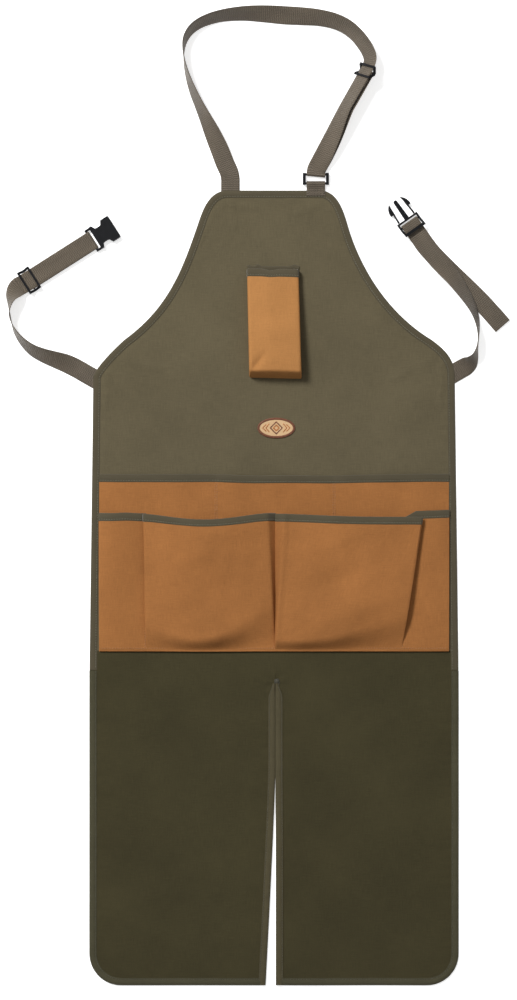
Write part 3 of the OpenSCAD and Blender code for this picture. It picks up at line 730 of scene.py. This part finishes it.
def bellows(name, base_out, base_in, top_out, top_in, top_y, heights, sag, turn, crease, seed, flip):
    """A pocket front with its two folded sides as one sheet, from seam to seam.
    turn holds the depths, as shares, where the front turns in to its seam: outer, middle, inner."""
    ds = np.concatenate([hem_depths, np.linspace(12.5, 0.8 * L_ROW, 46),
                         np.linspace(0.8 * L_ROW, L_ROW, 22)[1:]])
    grid, flat = [], []
    way = math.copysign(1, base_in - base_out)
    for d in ds:
        t = d / L_ROW
        w = np.linspace(0, 1, 60)
        begin = turn[0] * (1 - w) * (1 - 2 * w) + turn[1] * 4 * w * (1 - w) + turn[2] * w * (2 * w - 1)
        fall = 0.5 + 0.5 * np.cos(math.pi * np.clip((t - begin) / (1 - begin), 0, 1) ** 1.25)
        out_h, in_h, crown = (h * fall for h in heights)
        close = 1 - t
        xo = base_out + (top_out - base_out) * close
        xi = base_in + (top_in - base_in) * close
        bulge = np.sin(math.pi * w)
        belly = crown * (0.25 + 0.75 * math.sin(math.pi * min(1, 0.18 + 0.72 * t)))
        face_x = xo + (xi - xo) * w
        face_z = out_h + (in_h - out_h) * w + belly * bulge
        for tall, size, extra in ((2.4, 105, 0), (0.6, 38, 3)):
            face_z = face_z + tall * ripple(face_x, 0 * w + d, size, seed + extra) * bulge * fall
        # the pressed crease along the inner fold stands a little proud
        face_z = face_z + crease * fall * np.exp(-(((face_x - xi) / 3.5) ** 2))
        px = np.concatenate([[base_out], face_x, [base_in]])
        pz = np.concatenate([[0], np.maximum(face_z, 0.25), [0]])
        drop = sag * np.sin(math.pi * w) ** 1.4 * math.exp(-d / 70)
        tilt = (top_y[1] - top_y[0]) * w * close
        py = top_y[0] + np.concatenate([[0], tilt - drop, [tilt[-1]]]) - d * (top_y[0] - POCKET_Y) / L_ROW
        # closer points on the side walls than across the face
        line, share = folded_row(np.column_stack([px, py, pz]), 9, 80, 1, lower_base)
        grid.append(line)
        flat.append(np.column_stack([base_out + way * share, np.full(len(share), -187 - d)]))
    grid = np.array(grid)
    return grid, ds, shell(name, grid, np.array(flat), TAN, "apron", "pocket_canvas", flip=flip)


left_grid, left_ds, left_flat = side_pocket("left_side_pocket", -ROW_HALF, -171.5, -186, 6.5, 0.8, 0.0, 21)
right_grid, right_ds, right_flat = side_pocket("right_side_pocket", 170.5, ROW_HALF, -181.5, 4.6, 1.4,
                                               0.5, 25)
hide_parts("left_flat_pocket")
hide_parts("right_flat_pocket")
lb_grid, lb_ds, left_bellows = bellows("left_bellows", -171, 1, -174.5, -9, (-187, -186), (7, 10, 8), 8.0,
                                       (0.74, 0.88, 0.54), 0.0, 31, True)
rb_grid, rb_ds, right_bellows = bellows("right_bellows", 170, 1.6, 199, 15, (-191, -187), (13, 8, 7), 1.5,
                                        (0.64, 0.86, 0.9), 2.2, 37, False)
for piece, grid in ((left_bellows, lb_grid), (right_bellows, rb_grid)):
    across_mouth, across_seam = lengths(grid[0])[-1], lengths(grid[-1])[-1]
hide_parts("left_bellows_front", "left_bellows_pleats")
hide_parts("right_bellows_front", "right_bellows_pleats")
for name, front, grid, ds, flip in (
        ("left_side_hem", "left_side_pocket", left_grid, left_ds, True),
        ("right_side_hem", "right_side_pocket", right_grid, right_ds, True),
        ("left_bellows_hem", "left_bellows", lb_grid, lb_ds, True),
        ("right_bellows_hem", "right_bellows", rb_grid, rb_ds, False)):
    hem, line = hem_tape(name, grid, ds, flip)
    lengths(grid[0])[-1]
    apron_lines.append(line)
    if name == "left_side_hem":
        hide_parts("lower_pocket_hem")
tan_lines += [flat_line([(a, -200), (a, -366)], lower_base, CLOTH) for a in (-172.5, -0.5, 2.8, 171.5)]

# The turned edge along the bottom of the pockets.
p = np.column_stack([np.linspace(-233, 233, 160), np.full(160, POCKET_Y)])
profile = [(0.2, -0.3), (-0.2, 1.2), (0.1, 3.0), (1.2, 3.7), (2.9, 3.9), (5.9, 3.7), (6.2, 2.6), (5.4, 0.2)]
rings = np.stack([np.column_stack([p[:, 0], p[:, 1] + dy + 0.4 * ripple(p[:, 0], 0 * p[:, 0], 60, 41),
                                   bib_z(p[:, 0], p[:, 1]) + dz]) for dy, dz in profile], 1)
seam = sweep("pocket_bottom_edge", rings, lengths(p), lengths(np.array(profile + [profile[0]])), TAN,
             "apron", "pocket_canvas")
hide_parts("pocket_bottom_seam")
tan_lines.append(flat_line([(-232, POCKET_Y + 4.0), (232, POCKET_Y + 4.0)], bib_z, 3.75))

# ---- chest pouch
POUCH_TOP, POUCH_DEEP = 140.5, 146.0
pouch_depths = np.concatenate([hem_depths, np.linspace(13.5, 126, 42), np.linspace(129, POUCH_DEEP, 16)])
grid, flat = [], []


def pouch_base(x, y):
    return bib_z(x, y) + 0.15


for d in pouch_depths:
    t = d / POUCH_DEEP
    left, right = -34.8 + 3.0 * t, 31.5 + 4.2 * t
    turn = smoothstep(0.9, 1.0, t)
    tall = (10.5 + 12.0 * min(1, t / 0.85)) * math.sqrt(max(0.0, 1 - turn**2.2)) + 0.2
    w = np.linspace(0, 1, 40)
    x = left + (right - left) * w
    bulge = np.sin(math.pi * w)
    z = tall + (1.6 * bulge + 0.9 * ripple(x, 0 * x + d, 46, 61) * bulge) * (1 - turn)
    # the crease that runs into the lower left corner
    crease_x = -12 - 16 * smoothstep(0.72, 0.95, t)
    z = z - 3.2 * (np.exp(-((x - crease_x) / 5.0) ** 2) * math.exp(-((t - 0.86) / 0.09) ** 2))
    dip = 2.0 * np.exp(-((w - 0.45) / 0.12) ** 2) * math.exp(-d / 14)
    px = np.concatenate([[left - 0.4], x, [right + 0.4]])
    pz = np.concatenate([[0.0], z, [0.0]])
    y = POUCH_TOP - d + 5.5 * turn * (1 - turn * 0.5)
    slant = -1.5 * w
    py = np.concatenate([[y], y + slant - dip, [y + slant[-1]]])
    line, share = folded_row(np.column_stack([px, py, pz]), 12, 44, 2, pouch_base)
    grid.append(line)
    flat.append(np.column_stack([share, np.full(len(share), -d)]))
grid = np.array(grid)
pouch = shell("chest_pouch", grid, np.array(flat), PALE_TAN, "apron", "pocket_canvas", flip=True)
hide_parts("chest_pouch_front", "chest_pouch_gusset")
pouch_hem, line = hem_tape("chest_pouch_hem_tape", grid, pouch_depths)
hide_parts("chest_pouch_hem")
lengths(grid[0])[-1]
apron_lines.append(line)
back_x = np.linspace(34.0, -36.0, 60)
bumps = sum(tall * np.exp(-((back_x - at) / wide) ** 2)
            for at, tall, wide in ((-21.5, 3.2, 3.0), (27, 2.6, 3.4), (-33, 1.6, 3.0)))
back_path = np.column_stack([back_x, 145.0 + bumps])
back_hem, line = edge_band("chest_pouch_back_hem", back_path, bib_z, TAPE, "apron", "trim_tape", width=8.0,
                           front=0.6, lap=0.6, groove=6.2)
apron_lines.append(line)

# ---- woven patch
SATIN = canvas("satin_patch", rgb(206, 172, 132), light=1.08, dark=0.9, pitch=0.5, sheen=0.4)
BROWN = yarn("brown_thread", rgb(112, 62, 36))
OCHRE = yarn("ochre_thread", rgb(176, 112, 58))
PATCH = (3.0, -71.0, 25.0, 13.5)


def patch_z(x, y):
    """Height of the patch's under side."""
    return bib_z(x, y) + 0.2


cx, cy, hw, hh = PATCH
angles = np.linspace(0, math.tau, 73)
outline = np.column_stack([cx + hw * np.cos(angles), cy + hh * np.sin(angles)])
spokes = outline[:-1]
P = np.array([[cx, cy]])[None] + (spokes[None] - [cx, cy]) * np.linspace(0, 1, 14)[:, None, None]
top = np.dstack([P, patch_z(P[..., 0], P[..., 1]) + 1.0]).reshape(-1, 3)
low = np.column_stack([spokes, patch_z(spokes[:, 0], spokes[:, 1]) - 0.1])
verts = np.concatenate([top, low])
k = len(spokes)
faces = [[i * k + j, (i + 1) * k + j, (i + 1) * k + (j + 1) % k, i * k + (j + 1) % k]
         for i in range(len(P)) for j in range(k)]
uvs = verts[np.array(faces).ravel()][:, :2]
patch = add_mesh("woven_patch", verts, faces, uvs, SATIN, "apron", "patch")
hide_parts("badge")


def across(points, width, step):
    """Threads laid side by side across a path: pairs of ends and their heights."""
    p = resample(points, step)
    n = leftward(p)
    return [(a, b, patch_z(np.array([a[0], b[0]]), np.array([a[1], b[1]])) + 1.05)
            for a, b in zip(p - n * width / 2, p + n * width / 2)]


def outlined(corners, width):
    """Threads across each side of a figure, whose corners are given from the patch's middle."""
    corners = [(cx + a, cy + b) for a, b in corners]
    return [row for side in zip(corners, corners[1:]) for row in across(side, width, 0.55)]


def satin_rows(name, strokes, material, r=0.3):
    """Embroidered satin stitch: each stroke is a short thread between two points."""
    start = np.array([[*p, z[0]] for p, q, z in strokes])
    end = np.array([[*q, z[1]] for p, q, z in strokes])
    stations = (-0.5, 0.4, -0.5), (-0.36, 0.95, 0.1), (0, 1, 0.5), (0.36, 0.95, 0.1), (0.5, 0.4, -0.5)
    return stitches(name, (start + end) / 2, unit(end - start), UP,
                    np.linalg.norm(end - start, axis=1)[:, None], stations, 0, r, material, "apron",
                    "patch", False)


edge = np.array([(cx + (x - cx) * (1 - 1.2 / hw), cy + (y - cy) * (1 - 1.2 / hh)) for x, y in outline])
satin_rows("patch_border", across(edge, 3.2, 0.62), BROWN, 0.36)
satin_rows("patch_diamond", outlined([(0, 8), (8, 0), (0, -8), (-8, 0), (0, 8)], 1.7), BROWN)
strokes = []
for s in (-1, 1):
    for off in (0, 4.2):
        strokes += outlined([(s * (9.5 + off), 5.5 - off / 4), (s * (14.0 + off), 0),
                             (s * (9.5 + off), off / 4 - 5.5)], 1.5)
strokes += outlined([(0, 3.8), (3.8, 0), (0, -3.8), (-3.8, 0), (0, 3.8)], 2.0)
satin_rows("patch_chevrons", strokes, OCHRE)

# ---- webbing


def catmull(points, n):
    """A smooth curve through points, with n steps from each to the next."""
    p = np.asarray(points, float)
    m = len(p) - 1
    out = []
    for i in range(m):
        a, b, c, d = p[max(i - 1, 0)], p[i], p[i + 1], p[min(i + 2, m)]
        for k in range(n):
            t = k / n
            out.append(0.5 * (2 * b + (c - a) * t + (2 * a - 5 * b + 4 * c - d) * t * t
                              + (3 * b - a - 3 * c + d) * t**3))
    return np.array(out + [p[m]])


def strap_frames(route):
    """(middle, side, normal) of a strap at each point of a route of x, y, lift and roll."""
    p = catmull(route, 9)
    nrm = np.column_stack([leftward(p[:, :2]), np.zeros(len(p))])
    c, s = np.cos(np.radians(p[:, 3]))[:, None], np.sin(np.radians(p[:, 3]))[:, None]
    z = p[:, 2] + np.abs(s[:, 0]) * (WEB_W / 2) + np.abs(c[:, 0]) * HALF_T
    return np.column_stack([p[:, :2], z]), nrm * c + UP * s, UP * c - nrm * s


def second_layer(route, rise):
    """Frames of a layer of webbing that comes back along a route, rise above it."""
    mid, side, top = strap_frames(route)
    return (mid + rise * top)[::-1], side[::-1], top[::-1]


# The webbing's closed section. EDGE is the upper half of its rounded left edge.
EDGE = ((-12.5, 0.0), (-12.35, 0.36), (-11.7, 0.6))
WEB_PROFILE = np.array(list(EDGE) + [(a, 0.62) for a in (-8, -4, 0, 4, 8)] + [(-a, b) for a, b in EDGE[::-1]]
                       + [(-a, -b) for a, b in EDGE[1:]] + [(a, -0.62) for a in (8, 4, 0, -4, -8)]
                       + [(a, -b) for a, b in EDGE[:0:-1]])


def strap(name, mid, w, t, body, slot="webbing", start=0.0):
    rings = (mid[:, None] + w[:, None] * WEB_PROFILE[None, :, :1] + t[:, None] * WEB_PROFILE[None, :, 1:])
    # the weave's pattern runs across the width, the same on both faces
    around = np.append(WEB_PROFILE[:, 0] + WEB_W / 2, 0.0)
    return sweep(name, rings, lengths(mid) + start, around, WEB, body, slot, 70)


def turn_frames(centre, heading, side, flip):
    """Half a turn round a bar, from the layer above it to the one below."""
    d = np.array([math.cos(math.radians(heading)), math.sin(math.radians(heading)), 0])
    angles = np.linspace(math.pi / 2, -math.pi / 2, 14)
    radial = np.cos(angles)[:, None] * d + np.sin(angles)[:, None] * UP
    return np.array(centre) + LOOP_R * radial, np.tile(side, (14, 1)), radial * (-1 if flip else 1)


def joined(*parts):
    """Frames of several stretches, one after the other, without doubled points."""
    return [np.concatenate([parts[0][k]] + [part[k][1:] for part in parts[1:]]) for k in range(3)]


def along(p, heading, s):
    """The point at a distance s from p in the direction heading."""
    return (p[0] + s * math.cos(math.radians(heading)), p[1] + s * math.sin(math.radians(heading)))


def straight(p, heading, z, roll=0):
    """A straight stretch of route through p, as a function of the distance from p."""
    return lambda s: (*along(p, heading, s), z, roll)


def local(p, heading, z, roll=0.0):
    """A slider's own frame: at p and z, along the heading, rolled about its length."""
    return (Matrix.Translation((p[0], p[1], z)) @ Matrix.Rotation(math.radians(heading), 4, "Z")
            @ Matrix.Rotation(math.radians(roll), 4, "X"))


def fold(piece):
    """Bakes a strap's placement into its mesh."""
    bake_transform(piece)


def wrapped(name, place, body):
    """The webbing's sewn end round a slider's bar, in the slider's own frame."""
    r = BAR_R + BAR_GAP + HALF_T
    angles = np.linspace(-math.pi / 2, -3 * math.pi / 2, 13)
    pts = [(x, SLIDER_BAR_Z - r) for x in (1.0, 0.5)]
    pts += [(r * math.cos(a), SLIDER_BAR_Z + r * math.sin(a)) for a in angles]
    pts = np.array(pts + [(x, SLIDER_BAR_Z + r) for x in np.linspace(1, 22, 14)])
    n, none = leftward(pts), np.zeros(len(pts))
    m = np.array(place)
    rot, shift = m[:3, :3], m[:3, 3]
    mid = np.column_stack([pts[:, 0], none, pts[:, 1]]) @ rot.T + shift
    top = np.column_stack([n[:, 0], none, n[:, 1]]) @ rot.T
    return strap(name, mid, np.tile(rot @ np.array([0, 1, 0]), (len(pts), 1)), top, body)


# Neck strap: from behind the bib's hem on the left, round the neck, through the slider,
# round the ring's upper bar and back.
NECK_X, NECK_FOLD, RING_PITCH = 56.0, 256.3, 12.0
NECK_SLIDER, NECK_HEADING, NECK_ROLL, NECK_Z = (122.0, 404.5), -119.5, 50.0, 16.2
neck_run = straight(NECK_SLIDER, NECK_HEADING, 6.2, NECK_ROLL - 180)
neck_down = [neck_run(56), (87.8, 341.3, 6.0, -136), (80.2, 323.5, 5.8, -147), (72.5, 306.5, 5.6, -159),
             (65.8, 292.5, 5.4, -171), (60.4, 282, 5.4, -180), (56.8, 274.5, 5.4, -180),
             (NECK_X, NECK_FOLD + RING_PITCH, 5.4, -180)]
neck_up = [
    (-58.5, 238, 0.0, 0), (-58.5, 247, 0.1, 0), (-58.5, NECK_FOLD + 0.4, 0.2, 0), (-58.6, 263, 0.2, 0),
    (-60.4, 272, 0.2, 0), (-65.8, 284, 0, -3), (-73, 302, 0, -15), (-82, 322, 0, -32), (-91, 341, 0, -50),
    (-100, 360, 0, -62), (-108, 378, 0, -68), (-114.5, 396, 0, -76), (-119, 414, 0, -84),
    (-121, 432, 0, -92), (-118, 449, 0, -102), (-108, 463, 0, -109), (-91, 473, 0, -114),
    (-68, 479.5, 0, -119), (-40, 482.5, 0, -129), (-12, 482.3, 0, -143), (14, 480.8, 0, -153),
    (38, 479.3, 0.1, -149), (60, 477, 0.4, -140), (80, 472.3, 1.2, -135), (96, 464.8, 2.4, -132),
    (109, 454, 3.8, -130), (119, 441.5, 5, -130), (125.2, 431, 5.7, -130), (128, 421, 6.1, -130)]
run = [neck_run(s) for s in (-8, 0, 15, 30, 45)]
main = strap_frames(neck_up + run + neck_down)
turn = turn_frames((NECK_X, NECK_FOLD + RING_PITCH, FOLD_Z), -90, main[1][-1], True)
frames = joined(main, turn, second_layer([neck_run(45)] + neck_down, LAYER))
neck_length = lengths(frames[0])[-1]
neck = strap("neck_webbing", *frames, None)
fold(neck)
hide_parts("neck_strap", "neck_strap_anchor")
stretch = second_layer([neck_run(s) for s in (1.2, 15, 30, 45)], LAYER)
neck_return = strap("neck_webbing_return", *stretch, "neck_loop", start=neck_length)
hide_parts("neck_strap_return")
neck_place = local(NECK_SLIDER, NECK_HEADING, NECK_Z, NECK_ROLL)
neck_end = wrapped("neck_webbing_end", neck_place, "neck_adjuster")
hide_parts("neck_strap_end")

# Left waist strap and its doubled run to the socket.
LEFT_SLIDER, LEFT_HEADING, LEFT_RUN = (-327.5, 126.3), 32.5, 99.0
left_at = straight(LEFT_SLIDER, LEFT_HEADING, MAIN_Z - HALF_T)
left_route = [
    (-228, -12.0, 0.0, 0), (-240, -5.2, 0.1, 0), (-250.4, 0.7, 0.2, 0), (-263, 8, 0.2, 0),
    (-277, 14.8, 0.1, -13), (-292, 20, 0, -31), (-308, 25.5, 0, -44), (-322.5, 32.5, 0, -54),
    (-334.5, 42.5, 0, -65), (-344, 54.5, 0, -75), (-350, 67.5, 0, -85), (-353, 81, 0, -87),
    (-352.5, 94.8, 0.6, -70), (-349.6, 106.3, 2.6, -38)]
left_route += [left_at(s) for s in (-18, -10, 4, 25, 46, 67, LEFT_RUN)]
main = strap_frames(left_route)
bar = (*along(LEFT_SLIDER, LEFT_HEADING, LEFT_RUN), FOLD_Z)
turn = turn_frames(bar, LEFT_HEADING, main[1][-1], False)
frames = joined(main, turn)
left_length = lengths(frames[0])[-1]
left_strap = strap("left_waist_webbing", *frames, None)
fold(left_strap)
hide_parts("left_strap", "left_strap_anchor")
back = second_layer([left_at(s) for s in (1.2, 30, 60, LEFT_RUN)], -LAYER)
left_return = strap("left_waist_webbing_return", *back, "left_waist_strap", start=left_length)
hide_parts("left_strap_return")
waist_place = local(LEFT_SLIDER, LEFT_HEADING, MAIN_Z)
left_end = wrapped("left_waist_webbing_end", waist_place, "waist_adjuster")
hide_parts("left_strap_end")

# Right waist strap, the turn round the plug's bar, and the free tail.
PLUG, PLUG_HEADING = (182.0, 203.0), 125.0
plug_run = straight(PLUG, PLUG_HEADING, MAIN_Z - HALF_T)
right_route = [
    (228, -5.2, 0.0, 0), (240, 1.7, 0.1, 0), (250.4, 7.7, 0.2, 0), (257, 11.4, 0.2, 12), (263.5, 16.2, 0, 38),
    (268.3, 24, 0, 64), (271, 34.5, 0, 80), (272.6, 47, 0, 84), (272.6, 60.5, 0.2, 78), (270.3, 75, 1.2, 68),
    (265.5, 88, 2.1, 60), (257.8, 102, 2.8, 50), (249, 115.5, 3.4, 40), (239.3, 129.3, 4.1, 28),
    (227.8, 143.2, 4.8, 13), (215.5, 157.5, 5.3, 3)] + [plug_run(s) for s in (-38, -22, -10, 0)]
main = strap_frames(right_route)
turn = turn_frames((*PLUG, FOLD_Z), PLUG_HEADING, main[1][-1], False)
tail_route = [plug_run(s) for s in (0, -12, -24, -38)] + [
    (218, 156.5, 5.4, 0), (233.5, 141, 5.4, 0), (249, 126, 5.4, 0), (264, 111.5, 5.4, 0), (279, 96.5, 5.3, 0),
    (293, 81, 5.3, 0), (306.5, 65.5, 5.3, 0)]
tail = strap_frames(tail_route)
tail = (tail[0] - LAYER * tail[2], -tail[1], tail[2])
right_frames = joined(main, turn)
right_strap = strap("right_waist_webbing", *right_frames, None)
fold(right_strap)
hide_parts("right_strap", "right_strap_anchor")
lengths(right_frames[0])[-1]
right_tail = strap("right_waist_webbing_tail", *tail, "right_waist_strap", start=lengths(main[0])[-1] + 8)
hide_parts("right_strap_tail")
lengths(tail[0])[-1]
# the tail's hemmed end, folded back on itself
last = 10
turned = (tail[0][-last:] + tail[2][-last:] * 1.25, tail[1][-last:], tail[2][-last:])
hem = strap("right_waist_tail_hem", *turned, "right_waist_strap")
lengths(turned[0])[-1]

# Keeper loop that holds the ring, sewn over the bib's hem.
keeper_z = float(bib_z(np.array(NECK_X), np.array(244.0))) + 1.3
angles = np.linspace(math.radians(115), -math.pi / 2, 14)
path = [(240.0, keeper_z + 0.15), (245.0, keeper_z + 0.1), (249.5, keeper_z + 0.2)]
path += [(NECK_FOLD + LOOP_R * math.cos(a), FOLD_Z + LOOP_R * math.sin(a)) for a in angles]
path += [(253.5, FOLD_Z - LOOP_R), (250.6, FOLD_Z - LOOP_R + 0.1)]
path = resample(path, 0.8)
mid = np.column_stack([np.full(len(path), NECK_X), path])
keeper = strap("neck_keeper_webbing", mid, np.tile([1.0, 0, 0], (len(path), 1)),
               np.column_stack([np.zeros(len(path)), leftward(path)]), "apron")
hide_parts("neck_keeper")
lengths(path)[-1]

# ---- stitching
thread("green_stitches", apron_lines, GREEN_THREAD, "apron", "trim_tape")
thread("tan_stitches", tan_lines, TAN_THREAD, "apron", "pocket_canvas", r=0.3)

keeper_top, left_x, right_x = keeper_z + 0.75, NECK_X - 11, NECK_X + 11
web_lines = [upright(np.array([[*a, keeper_top], [*b, keeper_top]])) for a, b in (
    ((left_x, 242.0), (right_x, 242.0)), ((left_x, 247.0), (right_x, 247.0)),
    ((left_x, 241.5), (left_x, 247.5)), ((right_x, 241.5), (right_x, 247.5)))]
thread("keeper_stitches", web_lines, WEB_THREAD, "apron", "webbing")

# The knotted bar tack at the top of the slit: strokes crossed over each other into a small dome.
tack = []
knot_x, knot_y = SLIT_X + 2.0, SLIT_TOP + 2.4
knot_z = float(leg_ground(np.array(knot_x), np.array(knot_y))) + CLOTH + 0.3
for count, reach, lift in ((18, 4.2, 0.0), (14, 3.3, 0.6), (9, 2.0, 1.1)):
    for k in range(count):
        angle = math.pi * k / count + lift
        dx, dy = reach * math.cos(angle), reach * math.sin(angle)
        z = knot_z + lift + 0.02 * k
        tack.append(((knot_x - dx, knot_y - dy), (knot_x + dx, knot_y + dy), (z, z)))
bartack = satin_rows("slit_bar_tack", tack, KNOT_THREAD, 0.32)
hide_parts("slit_bartack")

# ---- plastic parts
for name in ("neck_ring", "neck_slider", "waist_slider", "buckle_socket", "buckle_plug", "plug_guide",
             "left_prong", "right_prong"):
    node = nodes[name]
    node.data.materials.clear()
    node.data.materials.append(BLACK)
    bevel = node.modifiers.new("softened_edges", "BEVEL")
    bevel.width = 0.45 * MM
    bevel.segments = 2
    bevel.limit_method = "ANGLE"
    bevel.angle_limit = math.radians(35)

# ---- moving webbing
d = along((0, 0), LEFT_HEADING, 1)
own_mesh(left_return)
d = along((0, 0), NECK_HEADING, 1)
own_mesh(neck_return)

# ---- camera, floor, light
scene = bpy.context.scene
camera = bpy.data.objects.new("camera", bpy.data.cameras.new("camera"))
scene.collection.objects.link(camera)
camera.data.lens = 85
camera.location = (-0.0208, -0.1675, 3.164)
scene.camera = camera

FLOOR = Nodes("paper_sweep")
where = FLOOR.add("TexCoord").outputs["Object"]
paper = FLOOR.mix(FLOOR.noise(where, 3.0), (0.84, 0.84, 0.84), (0.88, 0.88, 0.88))
FLOOR.finish(Base_Color=paper, Roughness=0.9, Emission_Color=(1.0, 1.0, 1.0, 1.0), Emission_Strength=0.6)
half = 30                           # metres, so that low views see little beyond it
mesh = bpy.data.meshes.new("floor")
mesh.from_pydata([(-half, -half, 0), (half, -half, 0), (half, half, 0), (-half, half, 0)], [], [(0, 1, 2, 3)])
mesh.materials.append(FLOOR.material)
floor = bpy.data.objects.new("floor", mesh)
floor.location = (0, 0, -0.0004)
scene.collection.objects.link(floor)


def softbox(name, location, size, power):
    """A round area light that faces the apron's middle."""
    light = bpy.data.objects.new(name, bpy.data.lights.new(name, "AREA"))
    light.data.shape = "DISK"
    light.data.size = size
    light.data.energy = power
    light.location = location
    light.rotation_euler = (Vector((0, -0.15, 0)) - Vector(location)).to_track_quat("-Z", "Y").to_euler()
    scene.collection.objects.link(light)


softbox("key", (-1.8, 2.0, 3.2), 1.2, 190)
softbox("fill", (2.6, -1.4, 3.2), 2.6, 8)
softbox("top", (0.2, 0.4, 3.9), 2.5, 14)
world = bpy.data.worlds.new("studio")
world.use_nodes = True
world.node_tree.nodes["Background"].inputs["Color"].default_value = (1, 1, 1, 1)
world.node_tree.nodes["Background"].inputs["Strength"].default_value = 0.27
scene.world = world
scene.view_settings.view_transform = "Standard"
